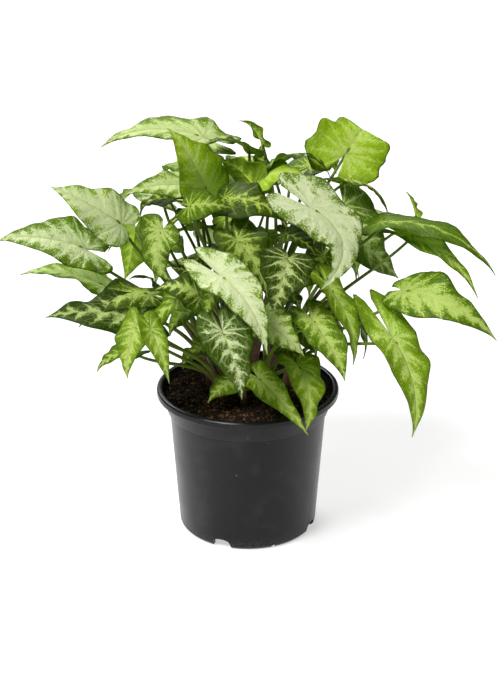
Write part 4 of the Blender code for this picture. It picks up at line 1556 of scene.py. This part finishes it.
def stalk_tree(material):
    """Geometry Nodes that grow a grooved tube along each line, as thick as its points say."""
    inputs = {"Geometry": ("Geometry", None), "Sides": ("Int", 12), "Groove": ("Float", 0.2)}
    tree, given = new_tree("stalks", "GeometryNodeTree", inputs)
    curves = signal(tree, "GeometryNodeMeshToCurve", {0: given["Geometry"]})
    level = signal(tree, "GeometryNodeSetCurveNormal", {0: curves}, mode="Z_UP")
    radius = {"Name": "stalk_radius"}
    radius = signal(tree, "GeometryNodeInputNamedAttribute", radius, data_type="FLOAT")
    ring = {"Resolution": given["Sides"], "Radius": 1.0}
    ring = signal(tree, "GeometryNodeCurvePrimitiveCircle", ring)
    spot = signal(tree, "GeometryNodeInputPosition")
    upper = spot.split("XYZ")[1].math("MAXIMUM", 0)
    pressed = spot.scaled(1 - upper.math("POWER", 8) * given["Groove"])
    profile = signal(tree, "GeometryNodeSetPosition", {"Geometry": ring, "Position": pressed})
    swept = {"Curve": level, "Profile Curve": profile, "Scale": radius, "Fill Caps": True}
    sides = signal(tree, "GeometryNodeCurveToMesh", swept)
    return coloured(signal(tree, "GeometryNodeRealizeInstances", {0: sides}), material)


def stalk_material(settings):
    """Stalks that turn from pinkish brown at the crown to olive green, with fine streaks along them."""
    made, place = new_material("leaf_stalk")
    tree = place.tree
    share = signal(tree, "ShaderNodeAttribute", output="Fac", attribute_name="stalk_share")
    lengthwise = signal(tree, "ShaderNodeMapping", {"Vector": place, "Scale": (1, 1, 0.12)})
    streaks = mottled(lengthwise, per_metre=1300, detail=2)
    uneven = mottled(place, per_metre=120, detail=3) * 0.14 - 0.07
    colour = blend(share.ramp(0.55, 1.05) * 0.5, settings.stalk_green, settings.green)
    colour = blend(1 - (share + uneven).ramp(0.04, 0.42), colour, settings.stalk_foot)
    colour = blend(streaks * 0.45, colour, tuple(0.35 * c for c in settings.stalk_green))
    values = {
        "Base Color": blend(share.ramp(1, 1.1) * 0.8, colour, settings.pale_lime),
        "Roughness": 0.42,
        "Specular IOR Level": 0.25,
        "Normal": bumped(streaks, 0.3, 0.0002),
    }
    return principled(made, values)


class PLANT_OT_stalks(Operator):
    """Add each shoot's stem and the petioles that carry its blades"""

    bl_idname = "plant.stalks"
    bl_label = "Add Stalks"

    def execute(self, context):
        settings = context.scene.plant_foliage
        tree = stalk_tree(stalk_material(settings))
        routes = petiole_routes()
        for name, leaves in LEAVES.items():
            paths = [petiole_path(leaf, routes[name, number]) for number, leaf in enumerate(leaves)]
            stalks = stalk_lines(name + "_stalks", [stem_path(SHOOTS[name]), *paths])
            run_tree(stalks, tree, {"Sides": STALK_SIDES, "Groove": STALK_GROOVE})
            dress(stalks, name, sharp_angle=50)
        return {"FINISHED"}


# Stage


def add_floor(settings):
    """A wide pale floor that glows a little, as a light table does."""
    corners = [(x * FLOOR_REACH, y * FLOOR_REACH, 0) for x, y in ((-1, -1), (1, -1), (1, 1), (-1, 1))]
    floor = mesh_object("floor", corners, [(0, 1, 2, 3)])
    values = {
        "Base Color": (*settings.floor, 1),
        "Roughness": 0.9,
        "Specular IOR Level": 0.0,
        "Emission Color": WHITE,
        "Emission Strength": settings.floor_glow,
    }
    floor.data.materials.append(principled(new_material("floor")[0], values))


def add_daylight(scene, settings):
    """Dim light from all round, which the camera sees as white."""
    world = bpy.data.worlds.new("studio")
    world.use_nodes = True
    seen = signal(world.node_tree, "ShaderNodeLightPath", output="Is Camera Ray")
    strength = seen * (1 - settings.daylight) + settings.daylight
    background = world.node_tree.nodes["Background"]
    background.inputs["Color"].default_value = WHITE
    world.node_tree.links.new(strength.socket, background.inputs["Strength"])
    scene.world = world


def broad_light(name, towards, spread, strength):
    """Even light from far away, softened over a wide angle."""
    lamp = bpy.data.lights.new(name, "SUN")
    lamp.angle = math.radians(spread)
    lamp.energy = strength
    made = bpy.data.objects.new(name, lamp)
    made.rotation_euler = Vector(towards).to_track_quat("-Z", "Y").to_euler()
    bpy.context.scene.collection.objects.link(made)


def add_camera(scene, settings):
    """The camera at the photograph's angle."""
    camera = bpy.data.objects.new("camera", bpy.data.cameras.new("camera"))
    back = Vector((0, -math.cos(settings.elevation), math.sin(settings.elevation)))
    camera.location = Vector(settings.aim) + back * settings.distance
    camera.rotation_euler = (-back).to_track_quat("-Z", "Y").to_euler()
    camera.data.lens = settings.lens
    scene.collection.objects.link(camera)
    scene.camera = camera


class PLANT_OT_stage(Operator):
    """Add the pale floor, the soft lights and the camera"""

    bl_idname = "plant.stage"
    bl_label = "Add Stage"

    def execute(self, context):
        scene = context.scene
        settings = scene.plant_stage
        add_floor(settings)
        add_daylight(scene, settings)
        scene.view_settings.view_transform = "Standard"
        broad_light("key_light", KEY_TOWARDS, KEY_SPREAD, settings.key_strength)
        broad_light("back_light", BACK_TOWARDS, BACK_SPREAD, settings.back_strength)
        add_camera(scene, settings)
        return {"FINISHED"}


class PLANT_PT_panel(Panel):
    """Lists the plant's pieces and settings"""

    bl_label = "Arrowhead plant"
    bl_idname = "PLANT_PT_panel"
    bl_space_type = "VIEW_3D"
    bl_region_type = "UI"
    bl_category = "Plant"

    def draw(self, context):
        for name, (_, *operators) in GROUPS.items():
            box = self.layout.box()
            for operator in operators:
                box.operator(operator.bl_idname)
            settings = getattr(context.scene, name)
            for key in settings.bl_rna.properties.keys():
                if key not in ("name", "rna_type"):
                    box.prop(settings, key)


# The scene's settings and the operators that use them
GROUPS = {
    "plant_stage": (StageSettings, PLANT_OT_stage),
    "plant_pot": (PotSettings, PLANT_OT_pot),
    "plant_soil": (SoilSettings, PLANT_OT_soil),
    "plant_foliage": (FoliageSettings, PLANT_OT_stalks, PLANT_OT_blades),
}


def register():
    for name, classes in GROUPS.items():
        for item in classes:
            bpy.utils.register_class(item)
        setattr(bpy.types.Scene, name, PointerProperty(type=classes[0]))
    bpy.utils.register_class(PLANT_PT_panel)


def unregister():
    bpy.utils.unregister_class(PLANT_PT_panel)
    for name, classes in GROUPS.items():
        delattr(bpy.types.Scene, name)
        for item in classes:
            bpy.utils.unregister_class(item)


def main():
    """Adds every piece and the stage."""
    register()
    bpy.ops.plant.stage()
    bpy.ops.plant.pot()
    bpy.ops.plant.soil()
    bpy.ops.plant.stalks()
    bpy.ops.plant.blades()


if __name__ == "__main__":
    main()
